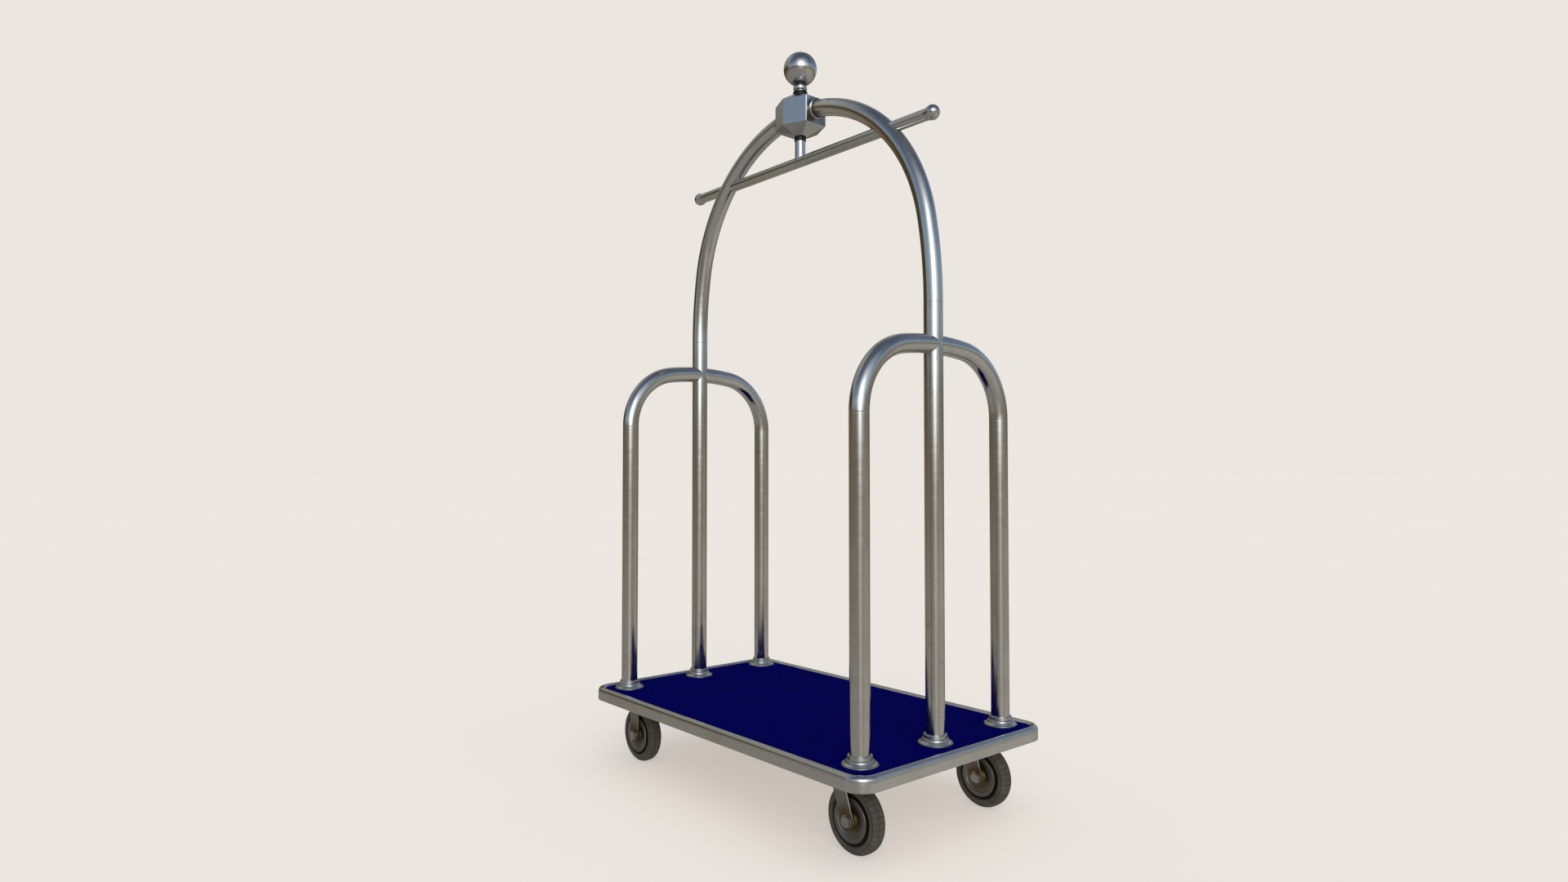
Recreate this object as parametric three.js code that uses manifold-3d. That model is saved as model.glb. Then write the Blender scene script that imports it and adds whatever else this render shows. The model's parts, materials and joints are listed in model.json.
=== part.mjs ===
// Hotel luggage cart: a carpeted deck on four casters, with a tall tube arch over its length,
// an end hoop at each end, a hanging rail, and a ball finial on a six-sided crown block.
// Millimetres, +Z up. +X is the end with the swivel casters, and the origin is on the floor
// below the middle of the deck. "front" is the -Y side and "back" the +Y side.

import * as THREE from 'three';
import { mergeVertices } from 'three/addons/utils/BufferGeometryUtils.js';
import Module from 'manifold-3d';

const wasm = await Module();
wasm.setup();

// ---------- driving dimensions ----------

const GAP = 0.3; // clearance left between neighbouring pieces
const TUBE_R = 21.2; // outer radius of the frame tubes
const WALL = 2; // wall of every tube
const RAIL_R = 13.45; // outer radius of the hanging rail and the drop rod
const LEG_X = 437.5; // half distance between the two ends' legs
const LEG_Y = 230; // half distance between a hoop's two legs

const DECK_X = 512; // half length over the edge rim
const DECK_Y = 302; // half width over the edge rim
const DECK_CORNER = 46.5; // corner radius over the edge rim
const RIM_BOTTOM = 161;
const RIM_SHOULDER = 182.4; // where the rim's flat side turns into its rounded bead
const BEAD_OUT = 9.5; // half width of the bead
const BEAD_UP = 11; // height of the bead over the shoulder
const RIM_SKIN = 2.5; // sheet thickness of the rim
const RIM_LIP_ANGLE = 2.67; // how far the bead curls over, in radians
const BOARD_BOTTOM = 170.6;
const BOARD_TOP = 185.6;
const CARPET_INSET = 18.7; // from the rim's outer face to the carpet's edge
const CARPET_TOP = 190.4;
const FLANGE_R = 38;
const LEG_BOLT_R = 5;
const BOLT_HEAD_R = 9.8; // hexagon head, centre to corner
const COUNTERBORE = 7.4; // depth of the room for a leg bolt's head in the board's underside

const ARCH_TOP = 1688; // height of the arch tube's centreline at midspan
const ARCH_CORNER_R = 1060;
const ARCH_CORNER_SWEEP = 0.181;
const HOOP_TOP = 1053;
const HOOP_CORNER_R = 149;
const HOOP_CORNER_SWEEP = 1.438;
const RAIL_Z = 1564.5;
const RAIL_HALF = 424;
const KNOB_X = 433.5;
const KNOB_R = 17;

const BLOCK_HALF_X = 60; // six-sided crown block, middle to the sides that the arch enters
const BLOCK_SIDE_Y = 32.9; // half the width of those two sides
const BLOCK_FRONT_Y = 59.2; // middle to its front and back corners
const BLOCK_TIP = 0.31; // the small flats above and below, as a share of the block's outline
const BLOCK_LEVELS = [1627, 1647.6, 1712.6, 1736.3]; // lower flat, lower and upper edge, upper flat
const SOCKET_END = 16; // how near the middle the block's tube sockets reach
const COLLAR_LENGTH = 10;
const STUD_R = 5; // threaded stud between block, neck and ball
const NECK_TOP = 1761;
const BALL_Z = 1803.1;
const BALL_R = 43;
const BALL_SKIN = 2.5;

const WHEEL_R = 71.5;
const WHEEL_X = 404.5; // axle from the middle, at both ends, with the swivel casters trailing outward
const WHEEL_Y = 208;
const TRAIL = 36; // from a swivel caster's king pin to its axle
const TYRE_HALF = 18;
const HUB_R = 45;
const HUB_HALF = 19.5;
const LEG_IN = 22.5; // inner face of a fork's leg, from the wheel's middle plane
const PLATE_THICK = 4.5;
const FORK_THICK = 5;
const AXLE_R = 5;
const SLEEVE_R = 8;

const PLATE_TOP = BOARD_BOTTOM - GAP;
const PLATE_BOTTOM = PLATE_TOP - PLATE_THICK;
const RACE_TOP = PLATE_BOTTOM - GAP;
const CROWN_TOP = RACE_TOP - 11;
const CROWN_BOTTOM = CROWN_TOP - FORK_THICK;
const FOOT_Z = BOARD_TOP + GAP; // where the tubes and flanges stand on the board
const FOOT_PLUG_TOP = FOOT_Z + 24;
const TUBE_SIDES = 12;
const ROUND = 12; // sides of turned pieces
const WHEEL_SIDES = 20;

// ---------- materials ----------

const finish = {
  steel: { color: 0x9c9890, roughness: 0.3, metalness: 1 },
  block: { color: 0x918d86, roughness: 0.36, metalness: 1 },
  dark: { color: 0x6f6c68, roughness: 0.45, metalness: 0.9 },
  carpet: { color: 0x070a63, roughness: 0.95, metalness: 0 },
  board: { color: 0x7a5b3c, roughness: 0.8, metalness: 0 },
  tyre: { color: 0x35332f, roughness: 0.8, metalness: 0 },
};

/** One named piece of the cart with its own material. */
function piece(name, geometry, kind) {
  const mesh = new THREE.Mesh(geometry, new THREE.MeshStandardMaterial(finish[kind]));
  mesh.name = name;
  return mesh;
}

// ---------- solids ----------

/** A closed three.js geometry as a manifold solid. */
function solidOf(geometry) {
  const bare = geometry.clone();
  bare.deleteAttribute('normal');
  bare.deleteAttribute('uv');
  const merged = mergeVertices(bare, 1e-4);
  return new wasm.Manifold(new wasm.Mesh({
    numProp: 3,
    vertProperties: new Float32Array(merged.attributes.position.array),
    triVerts: new Uint32Array(merged.index.array),
  }));
}

/** A manifold solid as a three.js geometry. */
function geometryOf(solid) {
  const mesh = solid.getMesh();
  const geometry = new THREE.BufferGeometry();
  geometry.setAttribute('position', new THREE.BufferAttribute(mesh.vertProperties, 3));
  geometry.setIndex(new THREE.BufferAttribute(mesh.triVerts, 1));
  return geometry;
}

/** The geometries in adds joined, less those in cuts. */
function shaped(adds, cuts = []) {
  let solid = solidOf(adds[0]);
  for (const extra of adds.slice(1)) solid = solid.add(solidOf(extra));
  for (const tool of cuts) solid = solid.subtract(solidOf(tool));
  return geometryOf(solid);
}

/** A body turned about the Y axis from [radius, height] points, anticlockwise round the section. */
function turned(section, sides = ROUND) {
  const points = section.map(([r, h]) => new THREE.Vector2(r, h));
  const onAxis = section[0][0] === 0 && section.at(-1)[0] === 0;
  if (!onAxis) points.push(points[0].clone());
  return new THREE.LatheGeometry(points, sides);
}

/** The same, about the Z axis. */
function turnedUp(section, sides = ROUND) {
  return turned(section, sides).rotateX(Math.PI / 2);
}

/** A round cutter whose flats touch the given radius, along "x", "y" or "z". */
function drill(radius, length, axis, centre, sides = ROUND) {
  const reach = radius / Math.cos(Math.PI / sides);
  const geometry = new THREE.CylinderGeometry(reach, reach, length, sides);
  if (axis === 'x') geometry.rotateZ(Math.PI / 2);
  if (axis === 'z') geometry.rotateX(Math.PI / 2);
  return geometry.translate(...centre);
}

/** An outline in XY pulled up from low to high. */
function slab(outline, low, high, curveSegments = 4) {
  const settings = { depth: high - low, bevelEnabled: false, curveSegments };
  return new THREE.ExtrudeGeometry(outline, settings).translate(0, 0, low);
}

/** A rectangle with round corners, centred on the origin. */
function roundedRectangle(halfX, halfY, radius) {
  const shape = new THREE.Shape();
  const x = halfX - radius;
  const y = halfY - radius;
  shape.absarc(x, -y, radius, -Math.PI / 2, 0);
  shape.absarc(x, y, radius, 0, Math.PI / 2);
  shape.absarc(-x, y, radius, Math.PI / 2, Math.PI);
  shape.absarc(-x, -y, radius, Math.PI, 1.5 * Math.PI);
  return shape;
}

/** A regular hexagon with two sides square to X. */
function hexagon(cornerRadius) {
  const corners = [];
  for (let k = 0; k < 6; k += 1) {
    const angle = (k + 0.5) * Math.PI / 3;
    corners.push(new THREE.Vector2(cornerRadius * Math.cos(angle), cornerRadius * Math.sin(angle)));
  }
  return new THREE.Shape(corners);
}

// ---------- bent tubes ----------

/** A centreline given by stations, each with a point and a direction. */
class StationPath extends THREE.Curve {
  constructor(stations) {
    super();
    this.stations = stations;
  }

  station(u) {
    return this.stations[Math.round(u * (this.stations.length - 1))];
  }

  getPointAt(u, target = new THREE.Vector3()) {
    return target.copy(this.station(u).point);
  }

  getTangentAt(u, target = new THREE.Vector3()) {
    return target.copy(this.station(u).direction);
  }
}

/** A round section along the stations: a tube, or a solid rod where the wall is 0. */
function roundAlong(stations, radius, wall = WALL) {
  const section = new THREE.Shape().absarc(0, 0, radius, 0, 2 * Math.PI);
  if (wall > 0) section.holes.push(new THREE.Path().absarc(0, 0, radius - wall, 0, 2 * Math.PI, true));
  return new THREE.ExtrudeGeometry(section, {
    steps: stations.length - 1,
    curveSegments: TUBE_SIDES / 2,
    extrudePath: new StationPath(stations),
  });
}

/**
 * One half of a three-centred bend: a leg, a corner arc, and a flatter crown arc that would be level
 * at the middle. across is the distance from the middle.
 */
class HalfBend {
  constructor(halfSpan, top, cornerRadius, sweep) {
    this.halfSpan = halfSpan;
    this.cornerRadius = cornerRadius;
    this.sweep = sweep;
    this.crownRadius = cornerRadius + (halfSpan - cornerRadius) / Math.cos(sweep);
    this.crownZ = top - this.crownRadius;
    this.cornerZ = this.crownZ + (this.crownRadius - cornerRadius) * Math.sin(sweep);
  }

  /** Distance across, height and direction at an angle round the bend, level at a quarter turn. */
  at(angle) {
    const onCorner = angle < this.sweep;
    const radius = onCorner ? this.cornerRadius : this.crownRadius;
    const centre = onCorner ? this.halfSpan - this.cornerRadius : 0;
    const centreZ = onCorner ? this.cornerZ : this.crownZ;
    return {
      across: centre + radius * Math.cos(angle),
      z: centreZ + radius * Math.sin(angle),
      alongAcross: -Math.sin(angle),
      alongZ: Math.cos(angle),
    };
  }

  /** Where on the crown arc the centreline is this far from the middle. */
  crownAngle(across) {
    return Math.acos(across / this.crownRadius);
  }

  /** Where on the crown arc the centreline is at this height. */
  crownAngleAtHeight(z) {
    return Math.asin((z - this.crownZ) / this.crownRadius);
  }

  /** From a foot height up and round to the first distance from the middle, then on by the others. */
  walk(footZ, [evenEnd, ...lastStops], cornerSteps, crownSteps) {
    const list = [{ across: this.halfSpan, z: footZ, alongAcross: 0, alongZ: 1 }];
    for (let k = 0; k < cornerSteps; k += 1) list.push(this.at(this.sweep * k / cornerSteps));
    const end = this.crownAngle(evenEnd);
    for (let k = 0; k <= crownSteps; k += 1) {
      list.push(this.at(this.sweep + (end - this.sweep) * k / crownSteps));
    }
    for (const across of lastStops) list.push(this.at(this.crownAngle(across)));
    return list;
  }
}

const archBend = new HalfBend(LEG_X, ARCH_TOP, ARCH_CORNER_R, ARCH_CORNER_SWEEP);
const hoopBend = new HalfBend(LEG_Y, HOOP_TOP, HOOP_CORNER_R, HOOP_CORNER_SWEEP);

/** A station of the arch, in the XZ plane on the given side. */
function archStation({ across, z, alongAcross, alongZ }, side) {
  return {
    point: new THREE.Vector3(side * across, 0, z),
    direction: new THREE.Vector3(side * alongAcross, 0, alongZ),
  };
}

/** A station of a hoop, in the plane of the legs at that end. */
function hoopStation({ across, z, alongAcross, alongZ }, endSide, side) {
  return {
    point: new THREE.Vector3(endSide * LEG_X, side * across, z),
    direction: new THREE.Vector3(0, side * alongAcross, alongZ),
  };
}

/** The plug welded in a tube's foot. */
function footPlug(x, y) {
  const length = FOOT_PLUG_TOP - FOOT_Z;
  return drill(TUBE_R - WALL + 0.2, length, 'z', [x, y, FOOT_Z + length / 2], TUBE_SIDES);
}

/** The bore up through that plug for the leg bolt. */
function footBore(x, y) {
  return drill(LEG_BOLT_R + GAP, 80, 'z', [x, y, FOOT_Z]);
}

/** A ring built upright on the origin, threaded onto the arch at a distance from the middle. */
function ontoArch(geometry, across, side) {
  const { point, direction } = archStation(archBend.at(archBend.crownAngle(across)), side);
  const turn = new THREE.Quaternion().setFromUnitVectors(new THREE.Vector3(0, 0, 1), direction);
  return geometry.applyQuaternion(turn).translate(point.x, point.y, point.z);
}

/** The arch's stations, with closer ones where it passes its collar and enters the block. */
function archStations(side) {
  const steps = archBend.walk(FOOT_Z, [76, 50, SOCKET_END + 1.5], 3, 9);
  return steps.map((step) => archStation(step, side));
}

/** The room that the arch tube takes up near the crown block, with its clearance. */
function archRoom(side) {
  const end = archStation(archBend.at(archBend.crownAngle(SOCKET_END)), side);
  return roundAlong([...archStations(side).slice(-4), end], TUBE_R + GAP, 0);
}

function archTube(name, side) {
  const tube = roundAlong(archStations(side), TUBE_R);
  const holeX = archBend.at(archBend.crownAngleAtHeight(RAIL_Z)).across;
  const railHole = drill(RAIL_R + GAP, 120, 'x', [side * holeX, 0, RAIL_Z]);
  const foot = side * LEG_X;
  return piece(name, shaped([tube, footPlug(foot, 0)], [footBore(foot, 0), railHole]), 'steel');
}

function hoopTube(name, endSide, side) {
  const steps = hoopBend.walk(FOOT_Z, [GAP], 6, 2);
  const tube = roundAlong(steps.map((step) => hoopStation(step, endSide, side)), TUBE_R);
  const x = endSide * LEG_X;
  const y = side * LEG_Y;
  const cope = drill(TUBE_R + GAP, 160, 'z', [x, 0, HOOP_TOP]);
  return piece(name, shaped([tube, footPlug(x, y)], [footBore(x, y), cope]), 'steel');
}

// ---------- deck ----------

const LEG_PLACES = [];
for (const [endName, endSide] of [['right', 1], ['left', -1]]) {
  for (const [rowName, row] of [['front', -1], ['mid', 0], ['back', 1]]) {
    LEG_PLACES.push({ place: `${endName}_${rowName}`, x: endSide * LEG_X, y: row * LEG_Y });
  }
}

/** Points round an ellipse about (BEAD_OUT, RIM_SHOULDER) inside the outer face, as [inset, z]. */
function beadArc(halfWidth, height, from, to, steps) {
  const points = [];
  for (let k = 0; k <= steps; k += 1) {
    const angle = from + (to - from) * k / steps;
    points.push([BEAD_OUT - halfWidth * Math.cos(angle), RIM_SHOULDER + height * Math.sin(angle)]);
  }
  return points;
}

/** The rim is turned as a small ring whose quarters are then moved apart to the deck's corners. */
function edgeRim() {
  const steps = 5;
  const outer = beadArc(BEAD_OUT, BEAD_UP, 0, RIM_LIP_ANGLE, steps);
  const inner = beadArc(BEAD_OUT - RIM_SKIN, BEAD_UP - RIM_SKIN, RIM_LIP_ANGLE, 0, steps);
  const section = [[0, RIM_BOTTOM], ...outer, ...inner, [RIM_SKIN, RIM_BOTTOM]];
  const sides = 20;
  const halfStep = Math.PI / sides;
  const radius = DECK_CORNER / Math.cos(halfStep);
  const geometry = turnedUp(section.map(([inset, z]) => [radius - inset, z]), sides);
  geometry.rotateZ(halfStep);
  const position = geometry.attributes.position;
  for (let k = 0; k < position.count; k += 1) {
    const x = position.getX(k);
    const y = position.getY(k);
    position.setX(k, x + Math.sign(x) * (DECK_X - DECK_CORNER));
    position.setY(k, y + Math.sign(y) * (DECK_Y - DECK_CORNER));
  }
  return piece('edge_rim', geometry, 'steel');
}

/** The board, counterbored from below so that each leg bolt's head lies inside it. */
function deckBoard() {
  const inset = RIM_SKIN + 0.7;
  const outline = roundedRectangle(DECK_X - inset, DECK_Y - inset, DECK_CORNER - inset);
  const cuts = [];
  for (const { x, y } of LEG_PLACES) {
    cuts.push(drill(LEG_BOLT_R + 0.5, 60, 'z', [x, y, BOARD_BOTTOM]));
    cuts.push(drill(BOLT_HEAD_R + 1.4, 2 * COUNTERBORE, 'z', [x, y, BOARD_BOTTOM]));
  }
  return piece('deck_board', shaped([slab(outline, BOARD_BOTTOM, BOARD_TOP)], cuts), 'board');
}

/** The carpet, cut out round the flanges. */
function carpetInlay() {
  const corner = DECK_CORNER - CARPET_INSET;
  const hole = (FLANGE_R + GAP) / Math.cos(Math.PI / ROUND);
  const outline = roundedRectangle(DECK_X - CARPET_INSET, DECK_Y - CARPET_INSET, corner);
  for (const { x, y } of LEG_PLACES) {
    outline.holes.push(new THREE.Path().absarc(x, y, hole, 0, 2 * Math.PI, true));
  }
  return piece('carpet_inlay', slab(outline, BOARD_TOP + GAP, CARPET_TOP, ROUND / 2), 'carpet');
}

/** A stepped foot ring on the board, whose disc stands a little proud of the carpet. */
function flange({ place, x, y }) {
  const top = CARPET_TOP + 20.7;
  const bore = (TUBE_R + GAP) / Math.cos(Math.PI / ROUND);
  const section = [
    [FLANGE_R, FOOT_Z], [FLANGE_R, top - 16.8], [28.6, top - 12.8], [28, top - 7.4], [25.4, top - 7],
    [24.8, top], [bore, top], [bore, FOOT_Z],
  ];
  return piece(`flange_${place}`, turnedUp(section).translate(x, y, 0), 'steel');
}

/** Hexagon-headed bolt up through the board into the plug in a tube's foot. */
function legBolt({ place, x, y }) {
  const headTop = BOARD_BOTTOM + COUNTERBORE - GAP;
  const head = slab(hexagon(BOLT_HEAD_R), headTop - 6.4, headTop);
  const length = FOOT_PLUG_TOP - 2 - headTop;
  const shank = drill(LEG_BOLT_R * 0.98, length + 1, 'z', [0, 0, headTop + length / 2 - 0.5]);
  return piece(`leg_bolt_${place}`, shaped([head, shank]).translate(x, y, 0), 'dark');
}

// ---------- crown: block, collars, finial, drop rod and rail ----------

/** Six-sided prism with a low pyramid above and below, each cut off to a small flat. */
function crownBlock() {
  const [lowFlat, lowEdge, highEdge, highFlat] = BLOCK_LEVELS;
  const section = [[0, lowFlat], [BLOCK_TIP, lowFlat], [1, lowEdge], [1, highEdge],
    [BLOCK_TIP, highFlat], [0, highFlat]];
  const body = turnedUp(section, 6);
  const corners = body.getAttribute('position');
  for (let k = 0; k < corners.count; k += 1) {
    const onFrontCorner = Math.abs(corners.getX(k)) < 0.01;
    corners.setX(k, corners.getX(k) * BLOCK_HALF_X / Math.cos(Math.PI / 6));
    corners.setY(k, corners.getY(k) * (onFrontCorner ? BLOCK_FRONT_Y : 2 * BLOCK_SIDE_Y));
  }
  const cuts = [archRoom(1), archRoom(-1)];
  cuts.push(drill(STUD_R + GAP, 60, 'z', [0, 0, highFlat]));
  cuts.push(drill(RAIL_R + GAP, 30, 'z', [0, 0, lowFlat]));
  return piece('crown_block', shaped([body], cuts), 'block');
}

/** Ring round the arch tube, trimmed flat against the block's face. */
function archCollar(name, side) {
  const outerR = 26.4;
  const shoulder = COLLAR_LENGTH - 2.6;
  const section = [[0, -12], [outerR, -12], [outerR, shoulder], [24.6, COLLAR_LENGTH], [0, COLLAR_LENGTH]];
  const body = ontoArch(turnedUp(section), BLOCK_HALF_X, side);
  const faceX = BLOCK_HALF_X + GAP;
  const trim = new THREE.BoxGeometry(40, 90, 90).translate(side * (faceX - 20), 0, ARCH_TOP);
  return piece(name, shaped([body], [archRoom(side), trim]), 'steel');
}

function finialNeck() {
  const low = BLOCK_LEVELS[3] + GAP;
  const footR = 18.2;
  const waistR = 13.2;
  const cupRim = 17.8;
  const cup = NECK_TOP - GAP - 0.6;
  return piece('finial_neck', turnedUp([
    [0, low - 26], [STUD_R, low - 26], [STUD_R, low], [footR, low], [footR, low + 7.4], [15, low + 7.6],
    [waistR, low + 10], [waistR, low + 14], [cupRim, low + 17.4], [cupRim, cup - 0.8], [STUD_R, cup - 3.9],
    [STUD_R, cup + 14], [0, cup + 14],
  ]), 'steel');
}

/** A sphere about the finial's centre. */
function finialSphere(radius) {
  return new THREE.SphereGeometry(radius, 18, 12).rotateX(Math.PI / 2).translate(0, 0, BALL_Z);
}

/** Hollow ball with a boss inside its lower end, bored for the stud. */
function finialBall() {
  const shell = shaped([finialSphere(BALL_R)], [finialSphere(BALL_R - BALL_SKIN)]);
  const boss = drill(9, 21, 'z', [0, 0, NECK_TOP + 11.5]);
  const bore = drill(STUD_R + GAP, 50, 'z', [0, 0, NECK_TOP]);
  return piece('finial_ball', shaped([shell, boss], [bore]), 'steel');
}

/** Two stations of a straight tube. */
function straight(from, to) {
  const direction = to.clone().sub(from).normalize();
  return [{ point: from, direction }, { point: to, direction }];
}

/** The rod from the block down to the rail, with a ring under the block. */
function dropRod() {
  const top = BLOCK_LEVELS[0] + 14.5;
  const rod = roundAlong(straight(new THREE.Vector3(0, 0, RAIL_Z), new THREE.Vector3(0, 0, top)), RAIL_R);
  const ringTop = BLOCK_LEVELS[0] - GAP;
  const ringLength = 10.4;
  const ring = drill(14.9, ringLength, 'z', [0, 0, ringTop - ringLength / 2]);
  const saddle = drill(RAIL_R + GAP, 80, 'x', [0, 0, RAIL_Z]);
  return piece('drop_rod', shaped([rod, ring], [saddle]), 'steel');
}

function hangingRail() {
  const from = new THREE.Vector3(-RAIL_HALF, 0, RAIL_Z);
  const to = new THREE.Vector3(RAIL_HALF, 0, RAIL_Z);
  return piece('hanging_rail', roundAlong(straight(from, to), RAIL_R), 'steel');
}

function railKnob(name, side) {
  const ball = new THREE.SphereGeometry(KNOB_R, 12, 8).translate(side * KNOB_X, 0, RAIL_Z);
  const depth = RAIL_HALF + GAP - (KNOB_X - KNOB_R - 10);
  const centre = KNOB_X - KNOB_R - 10 + depth / 2;
  const bore = drill(RAIL_R + GAP, depth, 'x', [side * centre, 0, RAIL_Z]);
  return piece(name, shaped([ball], [bore]), 'steel');
}

// ---------- casters, built about their wheel's axle ----------

/** An outline in XZ pulled along Y between two distances from the wheel's middle plane. */
function sideSlab(outline, nearY, farY) {
  const settings = { depth: farY - nearY, bevelEnabled: false, curveSegments: 5 };
  return new THREE.ExtrudeGeometry(outline, settings).rotateX(Math.PI / 2).translate(0, farY, 0);
}

/** A fork leg's outline: a round eye on the axle, and two edges up to the given top. */
function legOutline(eyeRadius, topZ, topCentreX) {
  const lean = Math.atan2(-topCentreX, topZ);
  const shape = new THREE.Shape();
  shape.absarc(0, 0, eyeRadius, Math.PI + lean, 2 * Math.PI + lean);
  shape.lineTo(topCentreX + eyeRadius, topZ);
  shape.lineTo(topCentreX - eyeRadius, topZ);
  return shape;
}

/** Both legs of a fork, mirrored about the wheel. */
function forkLegs(outline) {
  const far = LEG_IN + FORK_THICK;
  return [sideSlab(outline, LEG_IN, far), sideSlab(outline, -far, -LEG_IN)];
}

/** The outline of a caster's top plate, with a slot for a screw near each corner. */
function plateOutline() {
  const outline = roundedRectangle(52, 42, 9);
  const slotR = 4.2;
  const slotHalf = 3;
  for (const [sx, sy] of [[1, 1], [1, -1], [-1, 1], [-1, -1]]) {
    const slot = new THREE.Path();
    slot.absarc(sx * 40 + slotHalf, sy * 31, slotR, Math.PI / 2, -Math.PI / 2, true);
    slot.absarc(sx * 40 - slotHalf, sy * 31, slotR, -Math.PI / 2, -1.5 * Math.PI, true);
    outline.holes.push(slot);
  }
  return outline;
}

/** Local heights, measured from the axle. */
const local = (z) => z - WHEEL_R;

/** Hexagon-headed axle bolt along Y, with a washer face; the head is on the front. */
function axleBolt(name) {
  const face = LEG_IN + FORK_THICK + GAP;
  const washerHalf = 0.5;
  const washer = drill(12.6, 2 * washerHalf, 'y', [0, -face - washerHalf, 0]);
  const head = slab(hexagon(11.5), 0, 5.4).rotateX(Math.PI / 2).translate(0, -face - washerHalf, 0);
  const end = face + 13;
  const shank = drill(AXLE_R * 0.98, end + face + 1, 'y', [0, (end - face - 1) / 2, 0]);
  return piece(name, shaped([washer, head, shank]), 'dark');
}

/** Hexagon nut on the axle bolt's free end. */
function axleNut(name) {
  const face = LEG_IN + FORK_THICK + GAP;
  const body = slab(hexagon(10), 0, 8).rotateX(Math.PI / 2).translate(0, face + 8, 0);
  return piece(name, shaped([body], [drill(AXLE_R + GAP, 60, 'y', [0, face, 0])]), 'dark');
}

/** Spacer sleeve between the fork's legs, on which the hub turns. */
function axleSleeve(name) {
  const half = LEG_IN - GAP;
  const bore = (AXLE_R + GAP) / Math.cos(Math.PI / ROUND);
  return piece(name, turned([[SLEEVE_R, -half], [SLEEVE_R, half], [bore, half], [bore, -half]]), 'dark');
}

/** The other half of a section that is the same on both sides of the wheel's middle plane. */
function mirrored(half) {
  return half.map(([r, y]) => [r, -y]).reverse();
}

/** Stepped metal hub: boss, dished web and a flat outer ring on each side. */
function wheelHub(name) {
  const bore = (SLEEVE_R + GAP) / Math.cos(Math.PI / ROUND);
  const half = [
    [HUB_R - 1.6, HUB_HALF - 2.4], [HUB_R, HUB_HALF], [HUB_R - 7, HUB_HALF], [HUB_R - 9, 14],
    [17, 12], [13.4, HUB_HALF + 2], [bore, HUB_HALF + 2],
  ];
  return piece(name, turned([...mirrored(half), ...half]), 'dark');
}

/** Solid rubber tyre with a crowned tread and a groove round each side of the hub. */
function wheelTyre(name) {
  const seat = (HUB_R - 1.6 + GAP) / Math.cos(Math.PI / WHEEL_SIDES);
  const grooveFloor = TYRE_HALF - 4.4;
  const half = [
    [WHEEL_R, 8], [WHEEL_R - 7.5, TYRE_HALF], [HUB_R + 5, TYRE_HALF - 1],
    [HUB_R + 2.4, grooveFloor], [seat, grooveFloor],
  ];
  return piece(name, turned([...mirrored(half), ...half], WHEEL_SIDES), 'tyre');
}

/** What every caster has: wheel, sleeve, bolt and nut. */
function wheelSet(place) {
  return [
    wheelTyre(`tyre_${place}`),
    wheelHub(`hub_${place}`),
    axleSleeve(`axle_sleeve_${place}`),
    axleBolt(`axle_bolt_${place}`),
    axleNut(`axle_nut_${place}`),
  ];
}

/** Cuts the axle's holes through both legs of a fork. */
const axleDrill = () => drill(AXLE_R + GAP, 90, 'y', [0, 0, 0]);

/** Swivel caster: plate with king pin and ball race above, leaning fork below. */
function swivelCaster(place, y) {
  const caster = new THREE.Group();
  const pinX = -TRAIL;
  const pinR = 6;
  const low = local(CROWN_BOTTOM);
  const pinHole = (z) => drill(pinR + GAP, 20, 'z', [pinX, 0, z], 16);

  const crownOutline = new THREE.Shape();
  const halfCrown = LEG_IN + FORK_THICK;
  crownOutline.absarc(pinX, 0, halfCrown, Math.PI / 2, 1.5 * Math.PI);
  crownOutline.lineTo(-10, -halfCrown);
  crownOutline.lineTo(-10, halfCrown);
  const crown = slab(crownOutline, low, local(CROWN_TOP), 6);
  const legs = forkLegs(legOutline(17.5, low + FORK_THICK, -TRAIL * 0.76));
  const fork = shaped([crown, ...legs], [axleDrill(), pinHole(low)]);

  const plateLow = local(PLATE_BOTTOM);
  const plate = slab(plateOutline(), plateLow, local(PLATE_TOP), 2).translate(pinX, 0, 0);
  const raceLow = local(CROWN_TOP) + GAP;
  const raceHigh = local(RACE_TOP);
  const bore = (pinR + GAP) / Math.cos(Math.PI / ROUND);
  const race = turnedUp([[25, raceLow], [25, raceLow + 3.6], [22.6, raceLow + 4.6], [22.6, raceLow + 6],
    [26.5, raceLow + 7], [26.5, raceHigh], [bore, raceHigh], [bore, raceLow]]).translate(pinX, 0, 0);
  const headTop = low - GAP;
  const pin = turnedUp([[0, headTop - 4.5], [8, headTop - 4.5], [10, headTop - 2.5], [10, headTop],
    [pinR * 0.98, headTop], [pinR * 0.98, local(PLATE_TOP) - 0.4], [0, local(PLATE_TOP) - 0.4]], 16);

  caster.add(
    piece(`fork_${place}`, fork, 'dark'),
    piece(`caster_plate_${place}`, shaped([plate], [pinHole(plateLow)]), 'dark'),
    piece(`ball_race_${place}`, race, 'dark'),
    piece(`king_pin_${place}`, pin.translate(pinX, 0, 0), 'dark'),
    ...wheelSet(place),
  );
  caster.position.set(WHEEL_X, y, WHEEL_R);
  return caster;
}

/** Rigid caster: plate and two upright legs pressed in one piece. */
function rigidCaster(place, y) {
  const caster = new THREE.Group();
  const plateLow = local(PLATE_BOTTOM);
  const plate = slab(plateOutline(), plateLow, local(PLATE_TOP), 2);
  const legs = forkLegs(legOutline(18.5, plateLow + PLATE_THICK / 2, 0));
  caster.add(
    piece(`fork_${place}`, shaped([plate, ...legs], [axleDrill()]), 'dark'),
    ...wheelSet(place),
  );
  caster.position.set(-WHEEL_X, y, WHEEL_R);
  return caster;
}

// ---------- the whole cart ----------

const cart = new THREE.Group();
cart.name = 'luggage_cart';

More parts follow.
